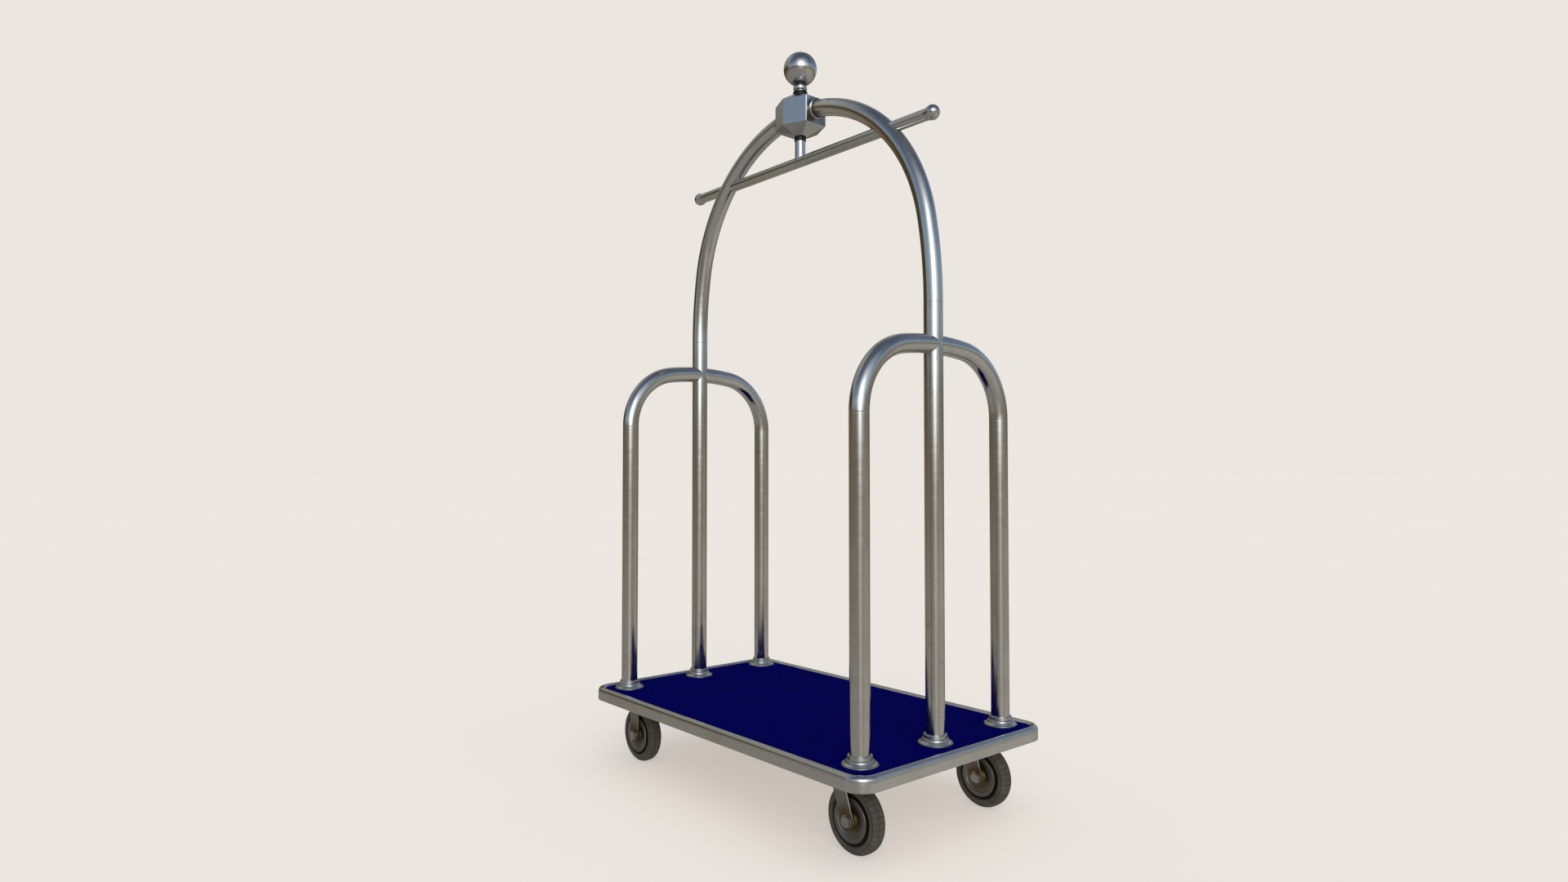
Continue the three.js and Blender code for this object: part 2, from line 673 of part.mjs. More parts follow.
const deck = new THREE.Group();
deck.add(deckBoard(), carpetInlay(), edgeRim());
for (const spot of LEG_PLACES) deck.add(flange(spot), legBolt(spot));

const frame = new THREE.Group();
for (const [endName, endSide] of [['right', 1], ['left', -1]]) {
  frame.add(archTube(`arch_tube_${endName}`, endSide));
  frame.add(archCollar(`arch_collar_${endName}`, endSide));
  frame.add(railKnob(`rail_knob_${endName}`, endSide));
  for (const [rowName, side] of [['front', -1], ['back', 1]]) {
    frame.add(hoopTube(`hoop_tube_${endName}_${rowName}`, endSide, side));
  }
}
frame.add(crownBlock(), finialNeck(), finialBall(), dropRod(), hangingRail());

const casters = new THREE.Group();
for (const [rowName, side] of [['front', -1], ['back', 1]]) {
  casters.add(swivelCaster(`right_${rowName}`, side * WHEEL_Y));
  casters.add(rigidCaster(`left_${rowName}`, side * WHEEL_Y));
}

cart.add(deck, frame, casters);

export default cart;
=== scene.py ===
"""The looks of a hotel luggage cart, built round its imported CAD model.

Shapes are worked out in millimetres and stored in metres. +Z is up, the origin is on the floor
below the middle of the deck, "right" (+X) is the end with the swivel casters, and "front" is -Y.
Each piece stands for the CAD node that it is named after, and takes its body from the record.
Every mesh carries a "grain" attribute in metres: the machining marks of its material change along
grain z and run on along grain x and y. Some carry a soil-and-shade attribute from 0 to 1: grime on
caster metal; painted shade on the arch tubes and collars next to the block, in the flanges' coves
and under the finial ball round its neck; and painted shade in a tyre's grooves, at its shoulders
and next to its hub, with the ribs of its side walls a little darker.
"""
import json
import math
from functools import partialmethod

import bmesh
import bpy
from mathutils import Matrix, Vector, noise


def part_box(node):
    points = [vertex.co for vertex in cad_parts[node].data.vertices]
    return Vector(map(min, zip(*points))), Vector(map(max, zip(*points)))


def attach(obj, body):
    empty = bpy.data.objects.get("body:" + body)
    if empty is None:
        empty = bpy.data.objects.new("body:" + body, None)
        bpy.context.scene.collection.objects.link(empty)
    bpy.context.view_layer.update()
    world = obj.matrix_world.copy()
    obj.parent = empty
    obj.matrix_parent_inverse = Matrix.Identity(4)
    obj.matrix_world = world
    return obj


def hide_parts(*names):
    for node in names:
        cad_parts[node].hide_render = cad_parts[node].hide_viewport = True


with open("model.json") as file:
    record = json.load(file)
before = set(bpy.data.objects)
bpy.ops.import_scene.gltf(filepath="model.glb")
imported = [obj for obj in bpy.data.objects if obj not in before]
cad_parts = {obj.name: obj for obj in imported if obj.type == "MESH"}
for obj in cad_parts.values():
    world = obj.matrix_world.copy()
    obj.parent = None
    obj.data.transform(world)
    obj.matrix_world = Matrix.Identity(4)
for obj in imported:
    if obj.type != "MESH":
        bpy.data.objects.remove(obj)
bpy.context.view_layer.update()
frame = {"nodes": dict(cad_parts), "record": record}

MM = 0.001
TURN = 2 * math.pi
record = frame["record"]
BODY_OF = {node: body for body, nodes in record["behaviour"]["bodies"].items() for node in nodes}
ENDS = {"right": 1, "left": -1}
ROWS = {"front": -1, "back": 1}
QUADRANTS = ((1, 1), (-1, 1), (-1, -1), (1, -1))


def low_of(node):
    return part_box(node)[0] / MM


def high_of(node):
    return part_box(node)[1] / MM


def middle_of(node):
    return (low_of(node) + high_of(node)) / 2


def heights_of(node):
    return low_of(node).z, high_of(node).z


# ---------- sizes in mm: from the frame, or chosen to suit it ----------

LEG_X = middle_of("flange_right_front").x
LEG_Y = middle_of("flange_right_back").y
FOOT_Z = low_of("hoop_tube_right_front").z
TUBE_R = (high_of("hoop_tube_right_front").x - low_of("hoop_tube_right_front").x) / 2
ARCH_TOP = high_of("arch_tube_right").z - TUBE_R + 0.4
ARCH_CORNER_R = 1060  # as in the CAD, like the other bends here
ARCH_CORNER_SWEEP = 0.181
ARCH_END = low_of("arch_tube_right").x  # how near the middle each arch tube reaches
HOOP_TOP = high_of("hoop_tube_right_front").z - TUBE_R
HOOP_CORNER_R = 149
HOOP_CORNER_SWEEP = 1.438
RAIL_Z = middle_of("hanging_rail").z
RAIL_R = (high_of("hanging_rail").z - low_of("hanging_rail").z) / 2
RAIL_HALF = high_of("hanging_rail").x
CARPET_BOTTOM, CARPET_TOP = heights_of("carpet_inlay")
DECK_X = high_of("edge_rim").x
DECK_Y = high_of("edge_rim").y
DECK_CORNER = 46.5
RIM_BOTTOM, RIM_TOP = heights_of("edge_rim")
WHEEL_R = middle_of("tyre_right_front").z
BLOCK_BOTTOM, BLOCK_TOP = heights_of("crown_block")
BLOCK_X = high_of("crown_block").x
BLOCK_SIDE_Y = 32.9  # half the width of the two faces that the arch enters
BLOCK_FRONT_Y = high_of("crown_block").y
BLOCK_TIP = 0.31  # the block's small flats above and below, as a share of its outline
LOW_PYRAMID = 20.6
HIGH_PYRAMID = 23.7

TUBE_SIDES = 56
BEND_STEP = 7.0
SEAM = [(-1.4, 0.0), (-0.4, -0.1), (0.4, -0.1), (1.4, 0.0)]  # a joint's hairline, as (along, depth)
FLANGE_DISC = CARPET_TOP + 3.9
RIM_SHOULDER = 182.4  # where the rim's flat side ends and its bead begins
RIM_SKIN = 2.4
BEAD_IN = 9.5
BEAD_CURL = 2.75  # radians
BEAD_STEPS = 24
CARPET_STEP = 3.0
CARPET_ROLL = 3.2  # how far in from its edge the pile rolls over
CARPET_PILE = ((0.55, 0.31, 0), (0.35, 0.06, 9))  # each noise's height, scale and own level

TREAD_BLOCKS = 36
GROOVE = 0.65
# Places round one tread block, as shares of its pitch, with a narrow cut at 0.
BLOCK_STEPS = (-0.07, -0.028, 0.028, 0.07, 0.2, 0.35, 0.5, 0.65, 0.8)
CUT_STEPS = (1, 2)
# Distances from the wheel's middle: two rows of blocks with a groove between them, and the shoulder.
TREAD_HALF = (0, 1.8, 3.6, 5.2, 6.4, 6.8, 7.2, 7.6, 9.0, 10.8, 12.6, 14.4, 16.0, 17.0, 17.3, 17.45)
GROOVE_PLACES = (6.8, 7.2)
SHOULDER = 17.3
CROWN_DROP = 8.6  # how much smaller the tread is at TREAD_REACH
CROWN_POWER = 3.6
TREAD_REACH = 17.5
# (radius, distance from the wheel's middle) from the tread down to the bead.
SIDE_WALL = (
    (62.3, 17.85), (61.8, 18.0), (61.0, 18.0), (60.0, 18.0), (58.0, 17.95), (56.0, 17.8), (54.4, 17.4),
    (53.0, 16.7), (51.9, 15.8), (51.0, 14.8), (49.8, 13.6), (48.4, 12.9), (46.4, 12.5), (43.8, 12.5),
)
# Half of the hub's section as (radius, distance from the wheel's middle, fillet): rim, web and boss.
HUB_HALF = (
    (43.5, 13.0, 0.5), (44.0, 16.0, 0.8), (45.4, 16.6, 0.6), (45.4, 19.7, 1.5), (42.6, 19.4, 1.4),
    (39.6, 18.3, 1.6), (37.2, 18.4, 1.0), (35.6, 16.6, 1.4), (32.6, 15.6, 1.4), (30.4, 15.6, 0.9),
    (29.4, 14.7, 0.8), (22.0, 13.7, 2.0), (16.6, 14.2, 1.6), (13.6, 17.0, 1.4), (13.3, 21.4, 0.7),
    (8.4, 21.4, 0.3),
)

LEG_IN = 22.5  # half the gap between a fork's legs
SHEET = 5.0  # thickness of the forks
FORK_EDGE = 2.0  # how far the worn edge of the forks' sheet is rounded off
FOLD_R = 7.5
EYE_R = 19.5
EYE_START = 0.04  # radians round the eye, so that the sheet's end isn't a point
PLATE_HALF = (52, 42)
PLATE_CORNER = 9
RIGID_PLATE = 4.5  # thickness
SLOTS = [(40 * sx, 31 * sy) for sx, sy in QUADRANTS]
SLOT_HALF = (7.2, 4.2)
SLOT_CORNER = 4.15

BACKDROP = (0.838, 0.792, 0.745)
FLOOR_GLOW = 0.55  # the share of the floor's brightness that nothing shades
FLOOR_HALF = 150  # metres
DOME = 0.6  # strength of the even light
PHOTO_PLACE = (1.76691, -1.56900, 0.77949)  # metres
PHOTO_TURN = (math.radians(91.744), 0, math.radians(49.40))
PHOTO_LENS = 21.44


# ---------- meshes ----------

def put_in_scene(name, data):
    """A new object for a mesh, a light or a camera."""
    thing = bpy.data.objects.new(name, data)
    bpy.context.scene.collection.objects.link(thing)
    return thing


def make_piece(name, verts, faces, grain, material, smooth_angle=38, weighted=True, soil=None):
    """A mesh object from millimetre points, facing out, with its attributes and material."""
    mesh = bpy.data.meshes.new(name)
    mesh.from_pydata([Vector(v) * MM for v in verts], [], faces)
    mesh.attributes.new("grain", "FLOAT_VECTOR", "POINT")
    mesh.attributes["grain"].data.foreach_set("vector", [c * MM for g in grain for c in g])
    if soil is not None:
        mesh.attributes.new("soil", "FLOAT", "POINT")
        mesh.attributes["soil"].data.foreach_set("value", soil)
    work = bmesh.new()
    work.from_mesh(mesh)
    bmesh.ops.recalc_face_normals(work, faces=work.faces)
    work.to_mesh(mesh)
    work.free()
    mesh.shade_smooth()
    mesh.set_sharp_from_angle(angle=math.radians(smooth_angle))
    mesh.materials.append(material)
    piece = put_in_scene(name, mesh)
    if weighted:
        piece.modifiers.new("weighted_normals", "WEIGHTED_NORMAL").keep_sharp = True
    return piece


def grid(rings, wrap=False, poles=(None, None)):
    """Points and faces of closed rings joined one to the next; a pole closes an open end."""
    count = len(rings[0])
    rows = len(rings)
    verts = [point for ring in rings for point in ring]
    faces = []
    for row in range(rows if wrap else rows - 1):
        a, b = row * count, (row + 1) % rows * count
        for k in range(count):
            m = (k + 1) % count
            faces.append((a + k, a + m, b + m, b + k))
    for pole, row in zip(poles, (0, rows - 1)):
        if pole is not None:
            verts.append(pole)
            tip = len(verts) - 1
            faces += [(row * count + k, row * count + (k + 1) % count, tip) for k in range(count)]
    return verts, faces


def rounded(corners, steps=5):
    """(x, y) points of a line or loop of corners, with an arc at each (x, y, fillet radius)."""
    out = []
    for k, (x, y, *fillet) in enumerate(corners):
        if not fillet:
            out.append((x, y))
            continue
        here = Vector((x, y))
        back = Vector(corners[k - 1][:2]) - here
        ahead = Vector(corners[(k + 1) % len(corners)][:2]) - here
        half = back.angle(ahead) / 2
        reach = min(fillet[0] / math.tan(half), 0.49 * back.length, 0.49 * ahead.length)
        radius = reach * math.tan(half)
        centre = here + (back.normalized() + ahead.normalized()).normalized() * radius / math.sin(half)
        start = here + back.normalized() * reach - centre
        end = here + ahead.normalized() * reach - centre
        from_angle = math.atan2(start.y, start.x)
        sweep = math.remainder(math.atan2(end.y, end.x) - from_angle, TURN)
        for step in range(steps + 1):
            angle = from_angle + sweep * step / steps
            out.append((centre.x + radius * math.cos(angle), centre.y + radius * math.sin(angle)))
    return out


def lengths(line):
    """The distance along a line at each of its points."""
    out = [0.0]
    for a, b in zip(line, line[1:]):
        out.append(out[-1] + math.dist(a, b))
    return out


def circle(sides):
    return [(math.cos(TURN * k / sides), math.sin(TURN * k / sides)) for k in range(sides)]


def turned(profile, sides, closed=False):
    """A body round Z from (radius, height) points. A profile that isn't closed ends on the axis."""
    along = lengths(profile)
    poles = (None, None)
    if not closed:
        poles = ((0, 0, profile[0][1]), (0, 0, profile[-1][1]))
        profile, along = profile[1:-1], along[1:-1]
    spokes = circle(sides)
    verts, faces = grid([[(r * c, r * s, h) for c, s in spokes] for r, h in profile], closed, poles)
    grain = [(20 * c, 20 * s, way) for way in along for c, s in spokes]
    grain += [(0, 0, way) for pole, way in zip(poles, (along[0], along[-1])) if pole is not None]
    return verts, faces, grain


def turned_ring(corners, sides, steps=5):
    """A ring round Z whose section is a loop of (radius, height, fillet radius) corners."""
    return turned(rounded(corners, steps), sides, closed=True)


def moved(shape, matrix):
    """The same points, faces and grain, with the points moved."""
    verts, faces, grain = shape
    return [matrix @ Vector(v) for v in verts], faces, grain


def joined(*shapes):
    """Several shapes as one, each a closed body of its own."""
    verts, faces, grain = [], [], []
    for some_verts, some_faces, some_grain in shapes:
        shift = len(verts)
        verts += list(some_verts)
        grain += list(some_grain)
        faces += [tuple(k + shift for k in face) for face in some_faces]
    return verts, faces, grain


ALONG_Y = Matrix.Rotation(-math.pi / 2, 4, "X")  # turns a body's +Z into +Y
ALONG_X = Matrix.Rotation(math.pi / 2, 4, "Y")  # turns a body's +Z into +X
DOWNWARD = Matrix.Rotation(math.pi, 4, "X")  # turns a body's +Z into -Z


def at(*place):
    return Matrix.Translation(Vector(place))


def smooth(share):
    share = min(1.0, max(0.0, share))
    return share * share * (3 - 2 * share)


def fades(distance, near, far, most=1.0):
    """How strong grime and painted shade are at a place, from the most at one distance to nothing at another.
    """
    return most * (1 - smooth((distance - near) / (far - near)))


def fine(node, shape, material, **settings):
    """The detailed piece that replaces one CAD node, on the node's body."""
    piece = extra(f"fine_{node}", node, shape, material, **settings)
    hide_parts(node)
    return piece


def extra(name, node, shape, material, **settings):
    """A further piece that rides with a CAD node, on its body."""
    piece = make_piece(name, *shape, material, **settings)
    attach(piece, BODY_OF[node])
    return piece


# ---------- materials ----------

class Nodes:
    """A node tree, with short ways to add and join nodes."""

    def __init__(self, tree):
        self.tree = tree

    def put(self, socket, value):
        """Joins a socket, or sets its number or colour."""
        if isinstance(value, bpy.types.NodeSocket):
            self.tree.links.new(value, socket)
        elif isinstance(value, tuple) and socket.type == "RGBA":
            socket.default_value = (*value, 1)
        else:
            socket.default_value = value

    def add(self, kind, inputs=None, **settings):
        """A node with its settings, and its inputs by name or number."""
        node = self.tree.nodes.new(kind)
        for key, value in settings.items():
            setattr(node, key, value)
        for key, value in (inputs or {}).items():
            self.put(node.inputs[key], value)
        return node

    def place(self):
        return self.add("ShaderNodeTexCoord").outputs["Object"]

    def stretched(self, vector, scale):
        return self.add("ShaderNodeVectorMath", {0: vector, 1: scale}, operation="MULTIPLY").outputs[0]

    def grain(self, scale):
        """The grain attribute with its axes scaled."""
        attribute = self.add("ShaderNodeAttribute", attribute_name="grain")
        return self.stretched(attribute.outputs["Vector"], scale)

    # Grime on caster metal and painted shade elsewhere, from 0 to 1.
    def soil(self):
        return self.add("ShaderNodeAttribute", attribute_name="soil").outputs["Fac"]

    def parts(self, vector):
        """X, Y and Z of a vector."""
        return self.add("ShaderNodeSeparateXYZ", {0: vector}).outputs

    def noise(self, vector, scale, detail=2.0, roughness=0.5, distortion=0.0):
        inputs = {"Vector": vector, "Scale": scale, "Detail": detail, "Roughness": roughness,
                  "Distortion": distortion}
        return self.add("ShaderNodeTexNoise", inputs).outputs["Fac"]

    def cells(self, vector, scale):
        return self.add("ShaderNodeTexVoronoi", {"Vector": vector, "Scale": scale}).outputs["Distance"]

    def spread(self, value, low, high, to_low=0.0, to_high=1.0, kind="SMOOTHSTEP"):
        """A value taken from one range to another, and held inside it."""
        inputs = {"Value": value, "From Min": low, "From Max": high, "To Min": to_low, "To Max": to_high}
        return self.add("ShaderNodeMapRange", inputs, interpolation_type=kind).outputs["Result"]

    def math(self, operation, first, second=0.0):
        return self.add("ShaderNodeMath", {0: first, 1: second}, operation=operation).outputs[0]

    times = partialmethod(math, "MULTIPLY")
    plus = partialmethod(math, "ADD")
    minus = partialmethod(math, "SUBTRACT")

    def mix(self, factor, first, second, blend="MIX"):
        """Two colours mixed, in the sockets that the node keeps for colours."""
        inputs = {0: factor, 6: first, 7: second}
        return self.add("ShaderNodeMix", inputs, data_type="RGBA", blend_type=blend).outputs[2]

    def ramp(self, value, stops):
        node = self.add("ShaderNodeValToRGB", {0: value})
        points = node.color_ramp.elements
        while len(points) < len(stops):
            points.new(0.5)
        for point, (position, colour) in zip(points, stops):
            point.position = position
            point.color = (*colour, 1)
        return node.outputs[0]

    def bump(self, height, strength, distance):
        inputs = {"Height": height, "Strength": strength, "Distance": distance}
        return self.add("ShaderNodeBump", inputs).outputs["Normal"]


def new_material(name):
    material = bpy.data.materials.new(name)
    material.use_nodes = True
    return material, Nodes(material.node_tree)


def finish_material(material, colour, roughness, normal=None, **numbers):
    """Sets the shader's inputs; a uniform number or colour goes straight onto its socket."""
    nodes = Nodes(material.node_tree)
    shader = material.node_tree.nodes["Principled BSDF"]
    nodes.put(shader.inputs["Base Color"], colour)
    nodes.put(shader.inputs["Roughness"], roughness)
    if normal is not None:
        nodes.put(shader.inputs["Normal"], normal)
    for key, value in numbers.items():
        shader.inputs[key.replace("_", " ").title().replace("Ior", "IOR")].default_value = value
    return material


def scaled(colour, factor):
    return tuple(min(1.0, factor * c) for c in colour)


# The brown of painted shade at the frame metals' joints and hollows; ochre is grime on caster metal.
SHADE_BROWN = (0.1, 0.085, 0.065)
OCHRE = (0.13, 0.085, 0.032)


def shade_round_sockets(n):
    """Painted shade on the crown block's two end faces: round the arch tube, and darker towards the bottom.
    """
    x, y, z = n.parts(n.place())
    middle = ARCH_TOP * MM - 0.005
    above = n.math("POWER", n.minus(z, middle), 2.0)
    radius = n.math("SQRT", n.plus(n.math("POWER", y, 2.0), above))
    near = n.spread(radius, 0.025, 0.038, 0.9, 0.0)
    low = n.spread(z, middle - 0.032, middle + 0.012, 0.75, 0.0)
    on_end = n.spread(n.math("ABSOLUTE", x), BLOCK_X * MM - 0.0012, BLOCK_X * MM - 0.0004)
    return n.times(n.math("MAXIMUM", near, low), on_end)


def worn_metal(name, colour, grime, roughness, mark_scale=900, mark_bump=0.05, wear=1.0, soiling=SHADE_BROWN,
               soiled=Nodes.soil):
    """Brushed metal: fine machining marks, drifting haze, scratches, small nicks, grime on caster metal, and
    painted shade by the frame's joints.
    """
    material, n = new_material(name)
    marks = n.noise(n.grain((6, 6, mark_scale)), 1.0, detail=3)
    bands = n.noise(n.grain((9, 9, 80)), 1.0, detail=2)
    haze = n.noise(n.place(), 8, detail=4, roughness=0.6)
    smudge = n.noise(n.place(), 42, detail=5, roughness=0.62, distortion=0.5)
    line = n.math("ABSOLUTE", n.minus(n.noise(n.place(), 45, detail=0), 0.5))
    where = n.spread(n.noise(n.place(), 70, detail=1), 0.62, 0.74)
    scratches = n.times(n.spread(line, 0.0, 0.004, 0.8, 0.0), where)
    nicks = n.spread(n.cells(n.grain((75, 75, 420)), 1.0), 0.05, 0.13, 1.0, 0.0)
    nicks = n.times(nicks, n.spread(n.noise(n.place(), 17, detail=3), 0.5, 0.62))
    specks = n.times(n.math("MAXIMUM", scratches, nicks), 0.5 * wear)
    hazed = n.spread(haze, 0.4, 0.75, 0, 0.5 * wear)
    dull = n.plus(hazed, n.spread(smudge, 0.52, 0.8, 0, 0.5 * wear))
    tint = n.mix(dull, colour, grime)
    tint = n.mix(n.spread(marks, 0.3, 0.7, 0.0, 0.14), tint, scaled(colour, 0.6))
    tint = n.mix(specks, tint, scaled(colour, 1.7))
    # Grime on caster metal, painted shade on the frame's metals, mottled by the smudges.
    dirt_and_shade = n.times(soiled(n), n.spread(smudge, 0.25, 0.6, 0.6, 1.0))
    tint = n.mix(dirt_and_shade, tint, soiling)
    rough = n.spread(dull, 0, 1, roughness, roughness + 0.16 * wear)
    rough = n.plus(rough, n.spread(bands, 0.3, 0.7, -0.02, 0.03))
    rough = n.plus(rough, n.times(specks, 0.3))
    rough = n.plus(rough, n.times(dirt_and_shade, 0.12))
    height = n.minus(n.times(marks, 0.5), specks)
    return finish_material(material, tint, rough, n.bump(height, mark_bump, 0.0004), metallic=1.0)


def carpet_pile():
    material, n = new_material("navy_cut_pile")
    tufts = n.cells(n.place(), 620)
    fibres = n.noise(n.place(), 1500, detail=2)
    trodden = n.noise(n.place(), 14, detail=4, roughness=0.6)
    shade = n.mix(n.spread(tufts, 0.2, 0.9), (0.0002, 0.0003, 0.098), (0.0001, 0.0002, 0.04))
    shade = n.mix(n.spread(fibres, 0.52, 0.75, 0, 0.5), shade, (0.0006, 0.0012, 0.15))
    shade = n.mix(n.spread(trodden, 0.42, 0.7, 0, 0.4), shade, (0.0001, 0.0002, 0.052))
    height = n.minus(n.times(fibres, 0.5), n.times(tufts, 0.8))
    return finish_material(material, shade, 0.95, n.bump(height, 0.45, 0.001), specular_ior_level=0.01)


def tyre_rubber():
    material, n = new_material("worn_tyre_rubber")
    dust = n.noise(n.place(), 30, detail=5, roughness=0.65)
    speck = n.noise(n.place(), 900, detail=2)
    shade = n.mix(n.spread(dust, 0.32, 0.72), (0.05, 0.046, 0.039), (0.078, 0.072, 0.06))
    shade = n.mix(n.spread(speck, 0.55, 0.75, 0, 0.4), shade, (0.03, 0.028, 0.024))
    # Near black where the tyre carries painted shade: grooves, cuts, shoulders and next to the hub.
    shade = n.mix(n.soil(), shade, (0.006, 0.0055, 0.005))
    rough = n.spread(dust, 0.3, 0.7, 0.62, 0.85)
    return finish_material(material, shade, rough, n.bump(speck, 0.35, 0.0003), specular_ior_level=0.3)


def plywood():
    material, n = new_material("sealed_plywood")
    place = n.stretched(n.place(), (3, 42, 42))
    waves = n.noise(place, 1.0, detail=5, roughness=0.6, distortion=1.2)
    pores = n.noise(place, 9.0, detail=2)
    layers = n.noise(n.stretched(n.place(), (2, 2, 420)), 1.0, detail=1)
    shade = n.mix(n.spread(waves, 0.3, 0.7), (0.33, 0.2, 0.1), (0.5, 0.35, 0.2))
    shade = n.mix(n.spread(pores, 0.58, 0.7, 0, 0.6), shade, (0.16, 0.09, 0.045))
    shade = n.mix(n.spread(layers, 0.45, 0.6, 0, 0.3), shade, (0.2, 0.11, 0.05))
    rough = n.spread(waves, 0.3, 0.7, 0.42, 0.6)
    return finish_material(material, shade, rough, n.bump(pores, 0.25, 0.0004), coat_weight=0.15)


# name, clean colour, dulled colour, roughness, then the marks' scale and height, and the wear
STEEL = worn_metal("frame_steel_brushed", (0.56, 0.545, 0.51), (0.4, 0.38, 0.34), 0.15)
POLISHED = worn_metal("rail_metal_polished", (0.51, 0.5, 0.47), (0.37, 0.35, 0.32), 0.1, 500, 0.02, 0.6)
BLOCK_METAL = worn_metal("block_metal_brushed", (0.54, 0.53, 0.51), (0.42, 0.4, 0.37), 0.2, 1400, 0.06, 0.4,
                         soiled=shade_round_sockets)
FLANGE_METAL = worn_metal("flange_metal_turned", (0.7, 0.68, 0.62), (0.46, 0.42, 0.34), 0.26, 600, 0.05, 1.2)
RIM_METAL = worn_metal("rim_metal_satin", (0.56, 0.55, 0.52), (0.4, 0.38, 0.345), 0.2, 700, 0.04, 0.8)
CASTER_STEEL = worn_metal("caster_steel_zinc", (0.27, 0.265, 0.24), (0.18, 0.16, 0.12), 0.3, 300, 0.05, 1.2,
                          OCHRE)
HUB_METAL = worn_metal("hub_metal_cast", (0.245, 0.232, 0.214), (0.15, 0.128, 0.097), 0.42, 420, 0.06, 1.1,
                       OCHRE)
BOLT_METAL = worn_metal("bolt_metal_zinc", (0.42, 0.41, 0.385), (0.24, 0.22, 0.18), 0.3, 260, 0.12, 1.4)
# Near-black metal for rings that stand in for shade, at the neck's foot and under the block.
SHADE_DARK_METAL = worn_metal("painted_shade_rings", (0.035, 0.03, 0.026), (0.06, 0.05, 0.04), 0.4, 600, 0.05)
CARPET = carpet_pile()
RUBBER = tyre_rubber()
WOOD = plywood()


# ---------- bent tubes ----------

class HalfBend:
    """Half of a three-centred bend: a leg, a corner arc, and a flatter crown arc."""

    def __init__(self, half_span, top, corner_radius, sweep):
        self.half_span = half_span
        self.corner_radius = corner_radius
        self.sweep = sweep
        self.crown_radius = corner_radius + (half_span - corner_radius) / math.cos(sweep)
        self.crown_z = top - self.crown_radius
        self.corner_z = self.crown_z + (self.crown_radius - corner_radius) * math.sin(sweep)

    def at(self, angle):
        """(across, z, tangent across, tangent z) at an angle round the bend."""
        on_corner = angle < self.sweep
        radius = self.corner_radius if on_corner else self.crown_radius
        centre = self.half_span - self.corner_radius if on_corner else 0
        centre_z = self.corner_z if on_corner else self.crown_z
        return (centre + radius * math.cos(angle), centre_z + radius * math.sin(angle),
                -math.sin(angle), math.cos(angle))

    def angle_across(self, across):
        return math.acos(across / self.crown_radius)

    def stations(self, foot, end_across):
        """(across, z, tangent across, tangent z, depth) from the foot to near the middle."""
        out = [(self.half_span, foot, 0, 1, 0)]
        seam_z = self.corner_z - 4
        out += [(self.half_span, seam_z + along, 0, 1, depth) for along, depth in SEAM]
        last = self.angle_across(end_across)
        corner_steps = math.ceil(self.corner_radius * self.sweep / BEND_STEP)
        crown_steps = math.ceil(self.crown_radius * (last - self.sweep) / BEND_STEP)
        angles = [self.sweep * k / corner_steps for k in range(corner_steps)]
        angles += [self.sweep + (last - self.sweep) * k / crown_steps for k in range(crown_steps + 1)]
        return out + [(*self.at(angle), 0) for angle in angles]


def tube(stations, across_axis, origin):
    """A round tube along stations in the plane of Z and across_axis."""
    side = across_axis.cross(Vector((0, 0, 1)))
    spokes = circle(TUBE_SIDES)
    centres = [origin + across_axis * across + Vector((0, 0, z)) for across, z, *_ in stations]
    along = lengths(centres)
    rings, grain = [], []
    for centre, way, (_, _, t_across, t_z, depth) in zip(centres, along, stations):
        outward = (across_axis * t_across + Vector((0, 0, t_z))).cross(side)
        rings.append([centre + (outward * c + side * s) * (TUBE_R + depth) for c, s in spokes])
        grain += [(TUBE_R * c, TUBE_R * s, way) for c, s in spokes]
    verts, faces = grid(rings, poles=(centres[0], centres[-1]))
    return verts, faces, grain + [(0, 0, 0), (0, 0, along[-1])]


arch_bend = HalfBend(LEG_X, ARCH_TOP, ARCH_CORNER_R, ARCH_CORNER_SWEEP)
hoop_bend = HalfBend(LEG_Y, HOOP_TOP, HOOP_CORNER_R, HOOP_CORNER_SWEEP)


def add_frame_tubes():
    """Both arch tubes, with painted shade next to the collars, and the four hoop tubes."""
    for end, side in ENDS.items():
        path = arch_bend.stations(FOOT_Z, ARCH_END)
        shape = tube(path, Vector((side, 0, 0)), Vector((0, 0, 0)))
        # Painted shade on each arch tube next to its collar.
        soil = [fades(abs(v[0]), BLOCK_X + 9, BLOCK_X + 23, 0.85) for v in shape[0]]
        fine(f"arch_tube_{end}", shape, STEEL, soil=soil)
        for row, row_side in ROWS.items():
            path = hoop_bend.stations(FOOT_Z, 4)
            shape = tube(path, Vector((0, row_side, 0)), Vector((side * LEG_X, 0, 0)))
            fine(f"hoop_tube_{end}_{row}", shape, STEEL)


